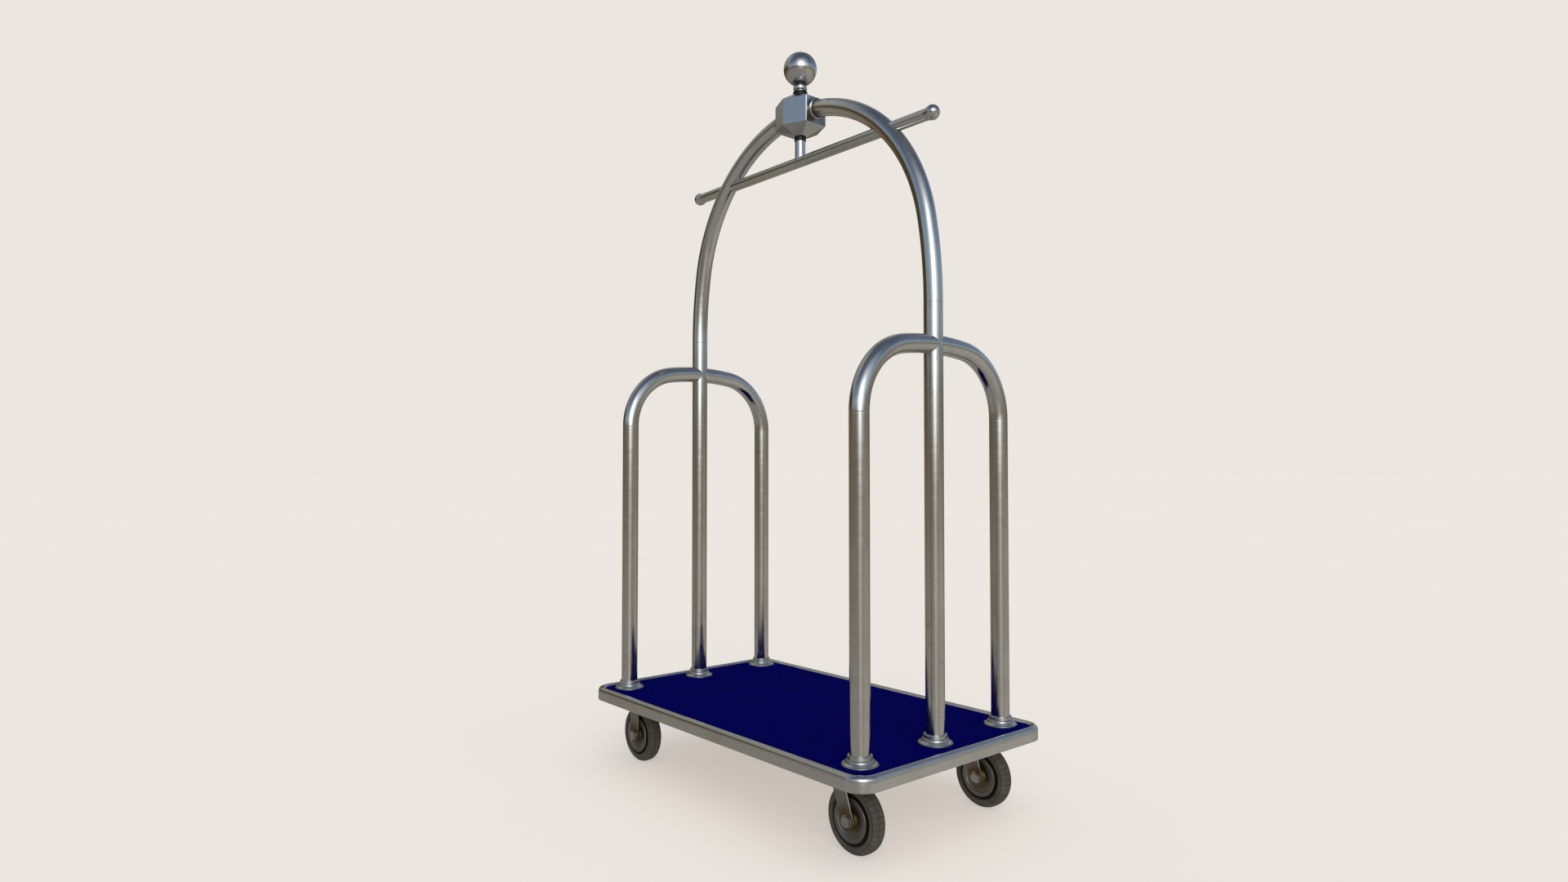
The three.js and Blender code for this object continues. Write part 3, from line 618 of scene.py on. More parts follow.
def add_flanges():
    """Stepped foot rings: a disc with a raised edge, a cove, and a collar in two tiers, with painted shade in
    the coves.
    """
    base = low_of("flange_right_mid").z - FLANGE_DISC
    bore = TUBE_R + 0.25
    ring = turned_ring([
        (bore, base), (37.6, base, 0.4), (38, -1.2, 1.4), (36.4, 0.3, 1.0), (34.6, -0.3, 0.5),
        (33.4, 0.9, 0.8), (31.4, 1.3, 1.0), (28.9, 4.2, 2.0), (28.4, 5.4, 0.6), (28.9, 6.8, 0.9),
        (28.2, 8.4, 0.9), (26.2, 9.0, 0.6), (25.6, 9.6, 0.5), (25.2, 14.6, 0.6), (25.7, 15.6, 0.5),
        (25.0, 16.8, 0.8), (bore + 0.8, 16.8, 0.7), (bore, 16.0),
    ], 72, 4)
    # Painted shade in the coves and where the disc meets the carpet.
    coves = [(29.2, 3.4), (26.4, 8.9), (36.6, -0.2), (38, -3)]
    soil = [fades(min(math.dist((math.hypot(x, y), z), cove) for cove in coves), 0, 2.2, 0.8)
            for x, y, z in ring[0]]
    for end, side in ENDS.items():
        for row, row_side in (*ROWS.items(), ("mid", 0)):
            shape = moved(ring, at(side * LEG_X, row_side * LEG_Y, FLANGE_DISC))
            fine(f"flange_{end}_{row}", shape, FLANGE_METAL, soil=soil)


# ---------- deck ----------

def deck_outline(corner_steps=20, straight_steps=12):
    """(x, y, outward x, outward y) round the deck's rounded rectangle."""
    half_x, half_y = DECK_X - DECK_CORNER, DECK_Y - DECK_CORNER
    corners = []
    for quarter, (sx, sy) in enumerate(QUADRANTS):
        for step in range(corner_steps + 1):
            angle = (quarter + step / corner_steps) * math.pi / 2
            c, s = math.cos(angle), math.sin(angle)
            corners.append((sx * half_x + DECK_CORNER * c, sy * half_y + DECK_CORNER * s, c, s))
    out = []
    for a, b in zip(corners, corners[1:] + corners[:1]):
        parts = straight_steps if math.dist(a[:2], b[:2]) > DECK_CORNER else 1
        out += [tuple(p + (q - p) * k / parts for p, q in zip(a, b)) for k in range(parts)]
    return out


def add_rim():
    """A bent metal edge: flat side, a groove, a rounded bead that curls over towards the carpet."""
    outer = [(0.9, RIM_BOTTOM, 0.8), (0, RIM_BOTTOM + 1.1, 0.9), (0, RIM_SHOULDER - 1.5, 0.5),
             (0.75, RIM_SHOULDER - 0.7, 0.3)]
    line = rounded([(RIM_SKIN, RIM_BOTTOM), *outer, (0.2, RIM_SHOULDER + 0.1)], steps=4)
    for skin, steps in ((0, range(1, BEAD_STEPS + 1)), (RIM_SKIN, range(BEAD_STEPS, -1, -1))):
        wide, tall = BEAD_IN - skin, RIM_TOP - RIM_SHOULDER - skin
        for k in steps:
            angle = BEAD_CURL * k / BEAD_STEPS
            line.append((BEAD_IN - wide * math.cos(angle), RIM_SHOULDER + tall * math.sin(angle)))
    across = lengths(line)
    rings, grain = [], []
    for x, y, out_x, out_y in deck_outline():
        rings.append([(x - inset * out_x, y - inset * out_y, z) for inset, z in line])
        grain += [(x, y, s) for s in across]
    verts, faces = grid(rings, wrap=True)
    fine("edge_rim", (verts, faces, grain), RIM_METAL)


def add_carpet():
    """A cut-pile inlay: a closed sheet with rolled edges and a trodden, tufted top."""
    inset = DECK_X - high_of("carpet_inlay").x
    corner = DECK_CORNER - inset
    half_x, half_y = DECK_X - inset, DECK_Y - inset
    columns = round(2 * half_x / CARPET_STEP)
    rows = round(2 * half_y / CARPET_STEP)
    verts, grain = [], []
    for row in range(rows + 1):
        y = -half_y + 2 * half_y * row / rows
        past = max(0.0, abs(y) - (half_y - corner))
        reach = half_x - corner + math.sqrt(max(corner ** 2 - past ** 2, 0.0))
        for column in range(columns + 1):
            x = reach * (2 * column / columns - 1)
            edge = min(reach - abs(x), half_y - abs(y))
            drop = CARPET_ROLL - math.sqrt(max(CARPET_ROLL ** 2 - max(CARPET_ROLL - edge, 0) ** 2, 0.0))
            pile = sum(tall * noise.noise(Vector((x, y, z)) * scale) for tall, scale, z in CARPET_PILE)
            verts.append((x, y, CARPET_TOP - 0.45 + pile - 0.8 * drop))
            grain.append((x, y, 0))
    wide = columns + 1
    corners = [row * wide + column for row in range(rows) for column in range(columns)]
    faces = [(k, k + 1, k + wide + 1, k + wide) for k in corners]
    rim = [*range(columns)] + [row * wide + columns for row in range(rows)]
    rim += [rows * wide + k for k in range(columns, 0, -1)] + [row * wide for row in range(rows, 0, -1)]
    shift = len(verts)
    verts += [(verts[k][0], verts[k][1], CARPET_BOTTOM) for k in rim]
    grain += [(verts[k][0], verts[k][1], 3) for k in rim]
    for k in range(len(rim)):
        m = (k + 1) % len(rim)
        faces.append((rim[k], rim[m], shift + m, shift + k))
    faces.append(tuple(range(shift, len(verts))))
    carpet = fine("carpet_inlay", (verts, faces, grain), CARPET, smooth_angle=80, weighted=False)


def dress_board():
    """The CAD board stays, with softened edges and a plywood material."""
    board = frame["nodes"]["deck_board"]
    board.data.materials.clear()
    board.data.materials.append(WOOD)
    bevel = board.modifiers.new("soft_edges", "BEVEL")
    bevel.width = 0.8 * MM
    bevel.segments = 2
    bevel.limit_method = "ANGLE"
    bevel.angle_limit = math.radians(50)


# ---------- fasteners ----------

def hex_head(corner_r, height, sides=72):
    """A hexagon head on the XY plane, with its corners chamfered and a shallow dome on top."""
    flat_r = corner_r * math.cos(math.pi / 6)
    chamfer_r = flat_r * 0.95
    angles = [TURN * k / sides for k in range(sides)]
    reach = [flat_r / math.cos(math.remainder(a, TURN / 6)) for a in angles]
    levels = [
        [(flat_r * 0.96, 0)] * sides,
        [(r, 0.35) for r in reach],
        [(r, height - (r - chamfer_r) * 0.55) for r in reach],
        [(chamfer_r, height)] * sides,
        [(chamfer_r * 0.9, height + 0.12)] * sides,
        [(chamfer_r * 0.5, height + 0.22)] * sides,
    ]
    rings = [[(r * math.cos(a), r * math.sin(a), z) for a, (r, z) in zip(angles, level)] for level in levels]
    verts, faces = grid(rings, poles=((0, 0, 0), (0, 0, height + 0.25)))
    return verts, faces, [(x, y, z * 3) for x, y, z in verts]


def washer(inner, outer, height, sides=60):
    edge = min(0.5, height * 0.4)
    return turned_ring([(inner, 0), (outer, 0, edge), (outer, height, edge), (inner, height)], sides, 3)


def thread_end(radius, start, end, pitch=1.25, sides=28):
    """A bolt's end from one height to another, with thread rings and a chamfered tip."""
    profile = [(0, start), (radius, start)]
    z = start
    while z + pitch < end - 1:
        profile += [(radius, z + 0.1 * pitch), (radius - 0.5, z + 0.5 * pitch), (radius, z + 0.9 * pitch)]
        z += pitch
    profile += [(radius, end - 1), (radius - 0.9, end), (0, end)]
    return turned(profile, sides)


def add_leg_bolts():
    for end in ENDS:
        for row in (*ROWS, "mid"):
            node = f"leg_bolt_{end}_{row}"
            place = middle_of(node)
            low = low_of(node).z
            down = at(place.x, place.y, low + 6.2) @ DOWNWARD
            head = moved(hex_head(9.6, 6.0), down)
            ring = moved(washer(5.3, 10.9, 0.9), at(place.x, place.y, low + 6.25))
            shank = moved(thread_end(5, 0, high_of(node).z - low - 6), at(place.x, place.y, low + 6))
            fine(node, joined(head, ring, shank), CASTER_STEEL)


# ---------- crown ----------

def add_crown_block():
    """A six-sided block with low pyramids and softened edges; its marks run up and down."""
    corners = [(BLOCK_X, BLOCK_SIDE_Y), (0, BLOCK_FRONT_Y), (-BLOCK_X, BLOCK_SIDE_Y)]
    corners += [(-x, -y) for x, y in corners]
    levels = [(BLOCK_TIP, BLOCK_BOTTOM), (1, BLOCK_BOTTOM + LOW_PYRAMID), (1, BLOCK_TOP - HIGH_PYRAMID),
              (BLOCK_TIP, BLOCK_TOP)]
    work = bmesh.new()
    rings = [[work.verts.new((x * share, y * share, z)) for x, y in corners] for share, z in levels]
    for a, b in zip(rings, rings[1:]):
        for k in range(6):
            m = (k + 1) % 6
            work.faces.new((a[k], a[m], b[m], b[k]))
    work.faces.new(rings[0])
    work.faces.new(rings[-1])
    bmesh.ops.recalc_face_normals(work, faces=work.faces)
    upright = [e for e in work.edges if abs(e.verts[0].co.z - e.verts[1].co.z) > 40]
    bmesh.ops.bevel(work, geom=upright, offset=1.9, segments=5, profile=0.5, affect="EDGES")
    others = [e for e in work.edges if e.calc_face_angle(0) > 0.3]
    bmesh.ops.bevel(work, geom=others, offset=0.7, segments=3, profile=0.5, affect="EDGES")
    work.verts.index_update()
    verts = [v.co.copy() for v in work.verts]
    faces = [tuple(v.index for v in f.verts) for f in work.faces]
    work.free()
    grain = [(v.z * 0.3, 0, math.atan2(v.y, v.x) * BLOCK_FRONT_Y) for v in verts]
    fine("crown_block", (verts, faces, grain), BLOCK_METAL)


def ball_profile(radius, start, steps):
    """(radius, height) points round a ball, from an angle off its lowest point to its top."""
    angles = [start + (math.pi - start) * k / steps for k in range(steps)]
    return [*((radius * math.sin(a), -radius * math.cos(a)) for a in angles), (0, radius)]


def add_finial():
    """A foot ring near black with painted shade, a waisted neck with a cup, and the polished ball."""
    # A near-black ring that stands in for the shade at the neck's foot.
    foot = turned_ring([(5, -1), (18.5, -1), (18.8, 3, 1.5), (18.1, 8.5, 1.5), (5, 8.5)], 64)
    extra("neck_foot_shade_ring", "finial_neck", moved(foot, at(0, 0, BLOCK_TOP)), SHADE_DARK_METAL)

    neck = rounded([
        (0, 1), (13, 1), (13, 7.6, 0.4), (14.1, 9.0, 0.9), (14.1, 11.2, 0.7), (14.7, 11.9, 0.3),
        (16.6, 12.4, 0.9), (17.5, 14.6, 1.6), (17.5, 20.4, 1.8), (16.2, 22.4, 0.8), (12.6, 23, 0.5), (12, 27),
        (0, 27),
    ])
    fine("finial_neck", moved(turned(neck, 72), at(0, 0, BLOCK_TOP)), POLISHED)

    centre = middle_of("finial_ball").z
    radius = high_of("finial_ball").z - centre
    boss_r = 9
    ball = [(0, -radius), (boss_r, -radius), *ball_profile(radius, math.asin(boss_r / radius), 60)]
    shape = turned(ball, 104)
    # Painted shade under the ball, round its neck.
    soil = [fades(math.hypot(v[0], v[1]), 16, 27, 0.9) * (v[2] < 0) for v in shape[0]]
    fine("finial_ball", moved(shape, at(0, 0, centre)), POLISHED, soil=soil)


def add_collars():
    """A rounded ring where each arch tube enters the block, with painted shade at both its ends."""
    bore = TUBE_R + 0.2
    shape = turned_ring([
        (bore, -10), (22.4, -10, 0.4), (22.8, -7.9, 0.4), (24.4, -7.3, 0.6), (26.1, -5.8, 1.6),
        (26.3, -2.2, 1.8), (25.2, -0.4, 0.5), (25.2, 4), (bore, 4),
    ], 80)
    # Painted shade at the collar's ends, against the block and against the tube.
    soil = [0.85 * (v[2] < -7.4 or v[2] > -0.8) for v in shape[0]]
    x, z, t_across, t_z = arch_bend.at(arch_bend.angle_across(BLOCK_X))
    for end, side in ENDS.items():
        tilt = Vector((0, 0, 1)).rotation_difference(Vector((side * t_across, 0, t_z)))
        place = at(side * x, 0, z) @ tilt.to_matrix().to_4x4()
        fine(f"arch_collar_{end}", moved(shape, place), POLISHED, soil=soil)


def add_rail():
    """The rod and a ring under the block near black with painted shade, the rail through both tubes, and the
    rail's knobs.
    """
    rod = [(0, RAIL_Z), (RAIL_R, RAIL_Z), (RAIL_R, BLOCK_BOTTOM + 3), (0, BLOCK_BOTTOM + 3)]
    fine("drop_rod", turned(rod, 64), STEEL)
    # A near-black ring that stands in for the shade where the rod meets the block.
    ring = turned_ring([(RAIL_R - 1, -10.7), (14.9, -10.7, 0.8), (14.9, 1), (RAIL_R - 1, 1)], 64, 4)
    extra("rod_top_shade_ring", "drop_rod", moved(ring, at(0, 0, BLOCK_BOTTOM)), SHADE_DARK_METAL)

    lengthwise = 24
    line = [(RAIL_R, -RAIL_HALF + 2 * RAIL_HALF * k / lengthwise) for k in range(lengthwise + 1)]
    rail = moved(turned([(0, -RAIL_HALF), *line, (0, RAIL_HALF)], 56), at(0, 0, RAIL_Z) @ ALONG_X)
    fine("hanging_rail", rail, POLISHED)

    flare = [(0, -17.5), (RAIL_R + 0.05, -17.5), (13.65, -14.5), (14.1, -12), (14.8, -9.8), (15.5, -7.6)]
    for end, side in ENDS.items():
        node = f"rail_knob_{end}"
        centre = middle_of(node)
        radius = high_of(node).z - centre.z
        shape = turned([*flare, *ball_profile(radius, math.acos(5.6 / radius), 28)], 64)
        turn = Matrix.Rotation(side * math.pi / 2, 4, "Y")
        fine(node, moved(shape, at(centre.x, 0, RAIL_Z) @ turn), POLISHED)


# ---------- wheels ----------

def tyre_shape():
    """A crowned tyre with three rows of blocks and ribbed side walls, and the painted shade of each point: in
    the grooves and cuts, at the shoulders and next to the hub, with the ribs a little darker.
    """
    count = TREAD_BLOCKS * len(BLOCK_STEPS)
    rows = []
    for y in TREAD_HALF:
        kind = "groove" if y in GROOVE_PLACES else "shoulder" if y >= SHOULDER else "tread"
        rows.append((WHEEL_R - CROWN_DROP * (y / TREAD_REACH) ** CROWN_POWER, y, kind))
    rows += [(r, y, "wall") for r, y in SIDE_WALL]
    rows = [(r, -y, kind) for r, y, kind in reversed(rows[1:])] + rows
    along = lengths([(r, y) for r, y, _ in rows])
    rings, grain, depth = [], [], []
    for (radius, y, kind), s in zip(rows, along):
        ring = []
        for k in range(count):
            block, step = divmod(k, len(BLOCK_STEPS))
            angle = TURN * (block + BLOCK_STEPS[step]) / TREAD_BLOCKS
            # dark is painted shade in the grooves and cuts, at the shoulders and next to the hub; the side
            # walls' ribs are a little darker.
            lift = out = dark = 0.0
            if kind == "wall":
                angle = TURN * (k - 1.5) / count
                on_rib = 54 < radius < 61.5 and k % 4 in (0, 1)
                out = 0.2 * on_rib
                dark = 0.15 * on_rib + fades(radius, 51, 55)
            elif kind == "shoulder":
                lift, dark = -1.3 * GROOVE, 1.0
            elif kind == "groove" or step in CUT_STEPS:
                lift, dark = -GROOVE, 0.55
            r = radius + lift
            ring.append((r * math.cos(angle), r * math.sin(angle), y + math.copysign(out, y)))
            grain.append((radius * math.cos(angle), radius * math.sin(angle), s))
            depth.append(min(dark, 1.0))
        rings.append(ring)
    verts, faces = grid(rings, wrap=True)
    return (verts, faces, grain), depth


def hub_shape():
    """A pressed hub disc with a rolled edge, a dished web with fine rings, and a boss on each side."""
    other_half = [(r, -y, fillet) for r, y, fillet in reversed(HUB_HALF)]
    return turned_ring([*other_half, *HUB_HALF], 112)


def grimed(shape, near, far):
    """How soiled each point of a wheel's part is, by its distance from the axle."""
    return [fades(math.hypot(v[0], v[2]), near, far) for v in shape[0]]


def add_wheels():
    tyre, depth = tyre_shape()
    tyre = moved(tyre, ALONG_Y)
    hub = moved(hub_shape(), ALONG_Y)
    hub_soil = [max(soil, float(abs(v[1]) < 17 and math.hypot(v[0], v[2]) > 42))
                for soil, v in zip(grimed(hub, 18, 37), hub[0])]
    sleeve = turned_ring([(5.3, -22.2), (8, -22.2, 0.5), (8, 22.2, 0.5), (5.3, 22.2)], 40, 3)
    sleeve = moved(sleeve, ALONG_Y)
    seat = LEG_IN + SHEET + 0.3
    on_seat = at(0, 0, seat)
    head = joined(moved(washer(5.2, 13.2, 1.0), on_seat), moved(hex_head(12.2, 5.2), at(0, 0, seat + 0.5)))
    bolt = moved(joined(head, thread_end(4.9, -41, seat + 2)), Matrix.Rotation(math.pi / 2, 4, "X"))
    nut = joined(moved(washer(5.2, 10.6, 1.2), on_seat), moved(hex_head(10, 6.4), at(0, 0, seat + 1.2)))
    nut = moved(nut, ALONG_Y)
    for end, side in ENDS.items():
        for row in ROWS:
            place = f"{end}_{row}"
            axle = middle_of(f"tyre_{place}")
            spin = at(*axle) @ Matrix.Rotation(0.4 * side + (0.9 if row == "back" else 0), 4, "Y")
            fine(f"tyre_{place}", moved(tyre, spin), RUBBER, smooth_angle=50, soil=depth)
            fine(f"hub_{place}", moved(hub, spin), HUB_METAL, soil=hub_soil)
            fine(f"axle_sleeve_{place}", moved(sleeve, at(*axle)), CASTER_STEEL, soil=grimed(sleeve, 9, 10))
            fine(f"axle_bolt_{place}", moved(bolt, at(*axle)), BOLT_METAL)
            fine(f"axle_nut_{place}", moved(nut, at(*axle)), BOLT_METAL)


# ---------- caster forks, races and plates ----------

def fork_path(crown_mid):
    """(y, z, share of the way onto the crown, share of the width) from one eye over to the other.

    Round the eyes z and the width are shares of the eye's radius, which the edge's rounding takes from.
    """
    leg_y = LEG_IN + SHEET / 2
    half = []
    eye_steps = 14
    for k in range(eye_steps):
        angle = EYE_START + (math.pi / 2 - EYE_START) * k / eye_steps
        half.append((-leg_y, -math.cos(angle), 0.0, math.sin(angle)))
    straight = 12
    fold_z = crown_mid - FOLD_R
    half += [(-leg_y, fold_z * k / straight, 0.0, 1.0) for k in range(straight)]
    folds = 10
    for k in range(folds + 1):
        angle = math.pi / 2 * k / folds
        y = -leg_y + FOLD_R * (1 - math.cos(angle))
        half.append((y, fold_z + FOLD_R * math.sin(angle), 0.5 * k / folds, 1.0))
    inner = 7
    start = -leg_y + FOLD_R
    half += [(start * (1 - k / inner), crown_mid, 0.5 + 0.5 * k / inner, 1.0) for k in range(1, inner + 1)]
    return half + [(-y, z, share, width) for y, z, share, width in reversed(half[:-1])]


def fork_sheet(crown_mid, lean_x, low_x, high_x, crown_r):
    """A fork pressed from one sheet: two legs with round eyes, folded into a crown, with worn edges.

    The legs lean by lean_x; the crown reaches from low_x, rounded by crown_r, to high_x.
    """
    path = fork_path(crown_mid)
    columns = 12
    rounding = [(1 - math.sin(a), math.cos(a)) for a in (0, 0.35, 0.8, 1.25, math.pi / 2)]

    def loop_point(k, side, inward, height, across=1.0):
        """A point at a place across the sheet, moved in from its edge and up from its middle face."""
        y, z, share, width = path[k]
        reach = EYE_R - inward
        if width < 1:
            z *= reach
        centre = lean_x * max(z, 0) / crown_mid
        low, high = centre - EYE_R, centre + EYE_R
        blend = smooth(share * 1.6)
        low += (low_x + crown_r - math.sqrt(max(crown_r ** 2 - y ** 2, 0)) - low) * blend
        high += (high_x - high) * blend
        low, high = low + inward, high - inward
        if width < 1:
            low, high = -reach * width, reach * width
        (ya, za, _, wa), (yb, zb, _, wb) = path[max(k - 1, 0)], path[min(k + 1, len(path) - 1)]
        if wa == 1 == wb:
            way = Vector((yb - ya, zb - za)).normalized()
        else:
            way = Vector((0.0, 1.0 if y < 0 else -1.0))
        x = low + (high - low) * (0.5 + 0.5 * side * across)
        return (x, y - way.y * height, z + way.x * height)

    rings = []
    flat = SHEET / 2
    for k in range(len(path)):
        ring = []
        for face in (1, -1):
            for j in range(columns + 1):
                share = (2 * j / columns - 1) * face
                ring.append(loop_point(k, 1, FORK_EDGE, face * flat, share))
            edge = [(FORK_EDGE * inward, flat - FORK_EDGE * (1 - up)) for inward, up in rounding[:-1]]
            ring += [loop_point(k, face, inward, face * height) for inward, height in reversed(edge)]
            ring += [loop_point(k, face, inward, -face * height) for inward, height in edge]
        rings.append(ring)
    along = lengths([(y, z if width == 1 else z * EYE_R) for y, z, _, width in path])
    ends = [(0, sign * path[0][0], path[0][1] * (EYE_R - FORK_EDGE)) for sign in (1, -1)]
    verts, faces = grid(rings, poles=ends)
    grain = [(point[0], point[1], s) for ring, s in zip(rings, along) for point in ring]
    return verts, faces, grain + [(0, 0, 0), (0, 0, along[-1])]


def add_fork(node, shape, place):
    fine(node, moved(shape, at(*place)), CASTER_STEEL, soil=grimed(shape, 15, 46))


def corners_of(x, y, half, corner_r):
    """The corners of a rounded rectangle about a point, for rounded()."""
    return [(x + sx * half[0], y + sy * half[1], corner_r) for sx, sy in QUADRANTS]


def plate_shape(low, high):
    """A caster's top plate with round corners and a slot at each, from a filled 2D curve."""
    curve = bpy.data.curves.new("plate_outline", "CURVE")
    curve.dimensions = "2D"
    curve.fill_mode = "BOTH"
    soft = 0.7
    curve.extrude = (high - low) / 2 - soft
    curve.bevel_depth = soft
    curve.bevel_resolution = 2
    curve.offset = -soft
    slots = [corners_of(x, y, SLOT_HALF, SLOT_CORNER) for x, y in SLOTS]
    for corners in [corners_of(0, 0, PLATE_HALF, PLATE_CORNER), *slots]:
        loop = rounded(corners, 8)
        spline = curve.splines.new("POLY")
        spline.points.add(len(loop) - 1)
        spline.use_cyclic_u = True
        for point, (x, y) in zip(spline.points, loop):
            point.co = (x, y, 0, 1)
    holder = bpy.data.objects.new("plate_outline", curve)
    mesh = bpy.data.meshes.new_from_object(holder)
    middle = (high + low) / 2
    verts = [Vector((v.co.x, v.co.y, v.co.z + middle)) for v in mesh.vertices]
    faces = [tuple(p.vertices) for p in mesh.polygons]
    bpy.data.objects.remove(holder)
    bpy.data.curves.remove(curve)
    bpy.data.meshes.remove(mesh)
    return verts, faces, [(v.x, v.y, v.z) for v in verts]


def plate_screws(low):
    """A flanged hexagon screw with its washer under each slot of a plate."""
    screw = joined(washer(3.4, 8.2, 1.2), moved(hex_head(6.4, 4.2), at(0, 0, 1.2)))
    return joined(*(moved(screw, at(x, y, low) @ DOWNWARD) for x, y in SLOTS))


def race_shape(low, high):
    """Two pressed cups with the balls showing between them."""
    bore = 6.4
    tall = high - low
    lower = [(bore, low), (25, low, 1.0), (25.4, low + 0.36 * tall, 1.2), (21.5, low + 0.42 * tall, 0.8),
             (bore, low + 0.42 * tall)]
    upper = [(bore, low + 0.6 * tall), (22.5, low + 0.6 * tall, 0.6), (26.6, low + 0.66 * tall, 1.2),
             (26.6, high, 0.9), (bore, high)]
    shapes = [turned_ring(cup, 64, 4) for cup in (lower, upper)]
    balls, ball_r = 22, 0.14 * tall + 0.9
    ball = turned(ball_profile(ball_r, 0, 8), 12)
    shapes += [moved(ball, at(21 * c, 21 * s, low + 0.51 * tall)) for c, s in circle(balls)]
    return joined(*shapes)


def add_swivel_caster(place):
    axle = middle_of(f"tyre_{place}")
    pin = middle_of(f"king_pin_{place}")
    plate_low, plate_high = heights_of(f"caster_plate_{place}")
    race_low, race_high = heights_of(f"ball_race_{place}")
    pin_x = pin.x - axle.x
    crown_mid = race_low - 0.3 - SHEET / 2 - axle.z
    low_x = low_of(f"fork_{place}").x - axle.x
    shape = fork_sheet(crown_mid, lean_x=pin_x * 0.82, low_x=low_x, high_x=-9, crown_r=27.5)
    add_fork(f"fork_{place}", shape, axle)
    above_pin = at(pin.x, pin.y, 0)
    plate = moved(plate_shape(plate_low, plate_high), above_pin)
    fine(f"caster_plate_{place}", plate, CASTER_STEEL)
    screws = moved(plate_screws(plate_low), above_pin)
    extra(f"plate_screws_{place}", f"caster_plate_{place}", screws, CASTER_STEEL)
    fine(f"ball_race_{place}", moved(race_shape(race_low, race_high), above_pin), CASTER_STEEL)
    low = low_of(f"king_pin_{place}").z
    down = at(pin.x, pin.y, low + 4.9) @ DOWNWARD
    pin_profile = [(0, low + 3), (5.8, low + 3), (5.8, plate_high - 0.5), (0, plate_high - 0.5)]
    king = joined(moved(hex_head(9.8, 4.2), down), moved(turned(pin_profile, 32), above_pin))
    fine(f"king_pin_{place}", king, CASTER_STEEL)


def add_rigid_caster(place):
    axle = middle_of(f"tyre_{place}")
    node = f"fork_{place}"
    plate_high = high_of(node).z
    plate_low = plate_high - RIGID_PLATE
    crown_mid = plate_low - SHEET / 2 - axle.z
    add_fork(node, fork_sheet(crown_mid, lean_x=0, low_x=-20, high_x=20, crown_r=400), axle)
    above = at(axle.x, axle.y, 0)
    extra(f"rigid_plate_{place}", node, moved(plate_shape(plate_low, plate_high), above), CASTER_STEEL)
    extra(f"plate_screws_{place}", node, moved(plate_screws(plate_low), above), CASTER_STEEL)


# ---------- floor, lights and camera ----------

def add_floor():
    """A pale plain floor that gives off part of its own brightness, so the cart only shades the rest."""
    material, n = new_material("pale_floor")
    drift = n.noise(n.place(), 0.7, detail=3)
    speck = n.noise(n.place(), 60, detail=3)
    shade = n.mix(n.spread(drift, 0.3, 0.7), (0.36, 0.341, 0.32), (0.37, 0.35, 0.329))
    finish_material(material, shade, n.spread(speck, 0.3, 0.7, 0.85, 0.95), specular_ior_level=0.05,
                    emission_color=(*BACKDROP, 1), emission_strength=FLOOR_GLOW)
    mesh = bpy.data.meshes.new("floor")
    mesh.from_pydata([(sx * FLOOR_HALF, sy * FLOOR_HALF, 0) for sx, sy in QUADRANTS], [], [(0, 1, 2, 3)])
    mesh.materials.append(material)
    floor = put_in_scene("floor", mesh)
    floor.visible_glossy = False


def heading(azimuth, elevation):
    """A unit vector; azimuth is from +X towards +Y, in degrees."""
    a, e = math.radians(azimuth), math.radians(elevation)
    return Vector((math.cos(a) * math.cos(e), math.sin(a) * math.cos(e), math.sin(e)))


def by_elevation(*stops):
    """Ramp stops from (degrees above the horizon, colour)."""
    return [((degrees + 90) / 180, colour) for degrees, colour in stops]


OPEN_SIDE = by_elevation(
    (-90, (0.35, 0.345, 0.32)), (-16, (0.37, 0.365, 0.345)), (-8, (0.34, 0.325, 0.3)),
    (-3, (0.26, 0.235, 0.2)), (2, (0.19, 0.165, 0.135)), (5.5, (0.24, 0.24, 0.22)),
    (8.5, (0.4, 0.48, 0.55)), (16, (0.36, 0.49, 0.65)), (25, (0.27, 0.37, 0.53)), (37, (0.2, 0.25, 0.38)),
    (55, (0.15, 0.2, 0.3)), (75, (0.12, 0.16, 0.23)),
)
SHADED_SIDE = by_elevation(
    (-90, (0.34, 0.33, 0.3)), (-16, (0.335, 0.325, 0.295)), (-8, (0.32, 0.295, 0.25)),
    (-3, (0.27, 0.21, 0.145)), (2, (0.21, 0.15, 0.08)), (6, (0.12, 0.09, 0.04)),
    (10, (0.08, 0.065, 0.025)), (17, (0.11, 0.09, 0.05)), (22, (0.3, 0.29, 0.26)),
    (28, (0.39, 0.395, 0.38)), (45, (0.43, 0.44, 0.44)), (60, (0.3, 0.32, 0.36)), (75, (0.1, 0.14, 0.2)),
)


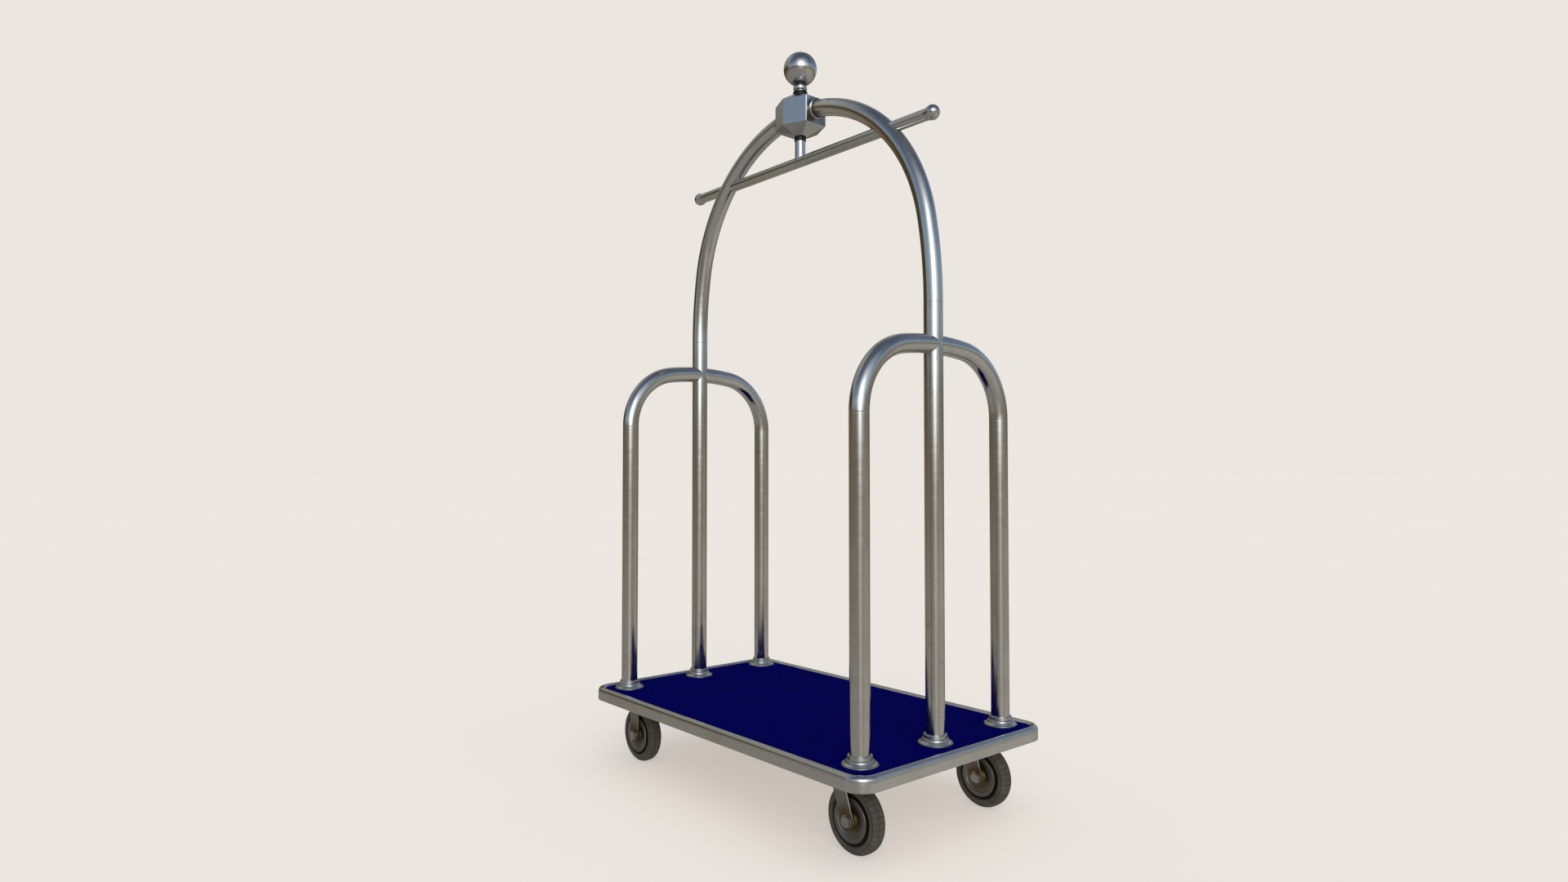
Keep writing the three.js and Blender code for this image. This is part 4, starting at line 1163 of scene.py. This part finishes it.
def add_world():
    """Pale surroundings for the camera, even light, and soft studio surroundings for reflections."""
    world = bpy.data.worlds.new("studio")
    world.use_nodes = True
    bpy.context.scene.world = world
    world.cycles.sampling_method = "NONE"  # so that a reflection only meets its own branch
    n = Nodes(world.node_tree)
    n.tree.nodes.clear()
    direction = n.add("ShaderNodeTexCoord").outputs["Generated"]
    elevation = n.math("ARCSINE", n.parts(direction)["Z"])
    share = n.plus(n.math("DIVIDE", elevation, math.pi), 0.5)

    def towards(vector, aim):
        return n.add("ShaderNodeVectorMath", {0: vector, 1: aim}, operation="DOT_PRODUCT").outputs["Value"]

    def glows(region, colour, *spots):
        """Soft round glows within a region, each from its azimuth, elevation, reach and strength."""
        total = 0.0
        for azimuth, height, reach, strength in spots:
            angle = n.math("ARCCOSINE", towards(direction, heading(azimuth, height)))
            total = n.plus(n.spread(angle, 0, math.radians(reach), strength, 0, "SMOOTHERSTEP"), total)
        return n.mix(1.0, colour, n.times(total, region), "MULTIPLY")

    level = n.add("ShaderNodeVectorMath", {0: n.stretched(direction, (1, 1, 0))}, operation="NORMALIZE")
    shaded = n.spread(towards(level.outputs[0], heading(176, 0)), 0.5, 0.72)
    around = n.mix(shaded, n.ramp(share, OPEN_SIDE), n.ramp(share, SHADED_SIDE))
    clouds = n.spread(n.noise(direction, 3.2, detail=3), 0.35, 0.7, 0.82, 1.25)
    above = n.spread(elevation, math.radians(8), math.radians(20))
    drift = n.plus(n.times(n.minus(clouds, 1.0), above), 1.0)
    around = n.mix(1.0, around, drift, "MULTIPLY")
    over = n.spread(elevation, math.radians(-1), math.radians(7))
    lit = glows(over, (1.0, 1.04, 1.06), (-30, 14, 62, 1), (-36, 16, 31, 2.4))
    warm = glows(n.minus(1.0, over), (1.0, 0.92, 0.8), (-36, -2, 30, 0.36), (35, -18, 80, 0.16))
    around = n.mix(1.0, n.mix(1.0, around, lit, "ADD"), warm, "ADD")

    def background(colour, strength=1.0):
        return n.add("ShaderNodeBackground", {"Color": colour, "Strength": strength}).outputs[0]

    def either(factor, first, second):
        return n.add("ShaderNodeMixShader", {0: factor, 1: first, 2: second}).outputs[0]

    path = n.add("ShaderNodeLightPath")
    unseen = either(path.outputs["Is Glossy Ray"], background((0.97, 0.98, 1.0), DOME), background(around))
    seen = either(path.outputs["Is Camera Ray"], unseen, background(BACKDROP))
    n.add("ShaderNodeOutputWorld", {0: seen})


def add_sun(name, azimuth, elevation, strength, soft_degrees, colour):
    """A wide, soft, far light; the metals meet the studio's own glow instead of its disc."""
    data = bpy.data.lights.new(name, "SUN")
    data.energy = strength
    data.angle = math.radians(soft_degrees)
    data.color = colour
    lamp = put_in_scene(name, data)
    lamp.rotation_euler = heading(azimuth, elevation).to_track_quat("Z", "Y").to_euler()
    lamp.visible_glossy = False


def add_camera():
    data = bpy.data.cameras.new("photo_view")
    data.sensor_width = 36
    data.lens = PHOTO_LENS
    camera = put_in_scene("photo_view", data)
    camera.location = PHOTO_PLACE
    camera.rotation_euler = PHOTO_TURN
    bpy.context.scene.camera = camera


bpy.context.scene.view_settings.view_transform = "Standard"
add_camera()
add_world()
add_floor()
add_sun("key", -33, 28, 1.6, 40, (1.0, 0.97, 0.92))
add_sun("overhead_fill", 20, 74, 0.75, 60, (1.0, 0.985, 0.97))

add_frame_tubes()
add_flanges()
add_rim()
add_carpet()
dress_board()
add_leg_bolts()
add_crown_block()
add_finial()
add_collars()
add_rail()
add_wheels()
for row_name in ROWS:
    add_swivel_caster(f"right_{row_name}")
    add_rigid_caster(f"left_{row_name}")
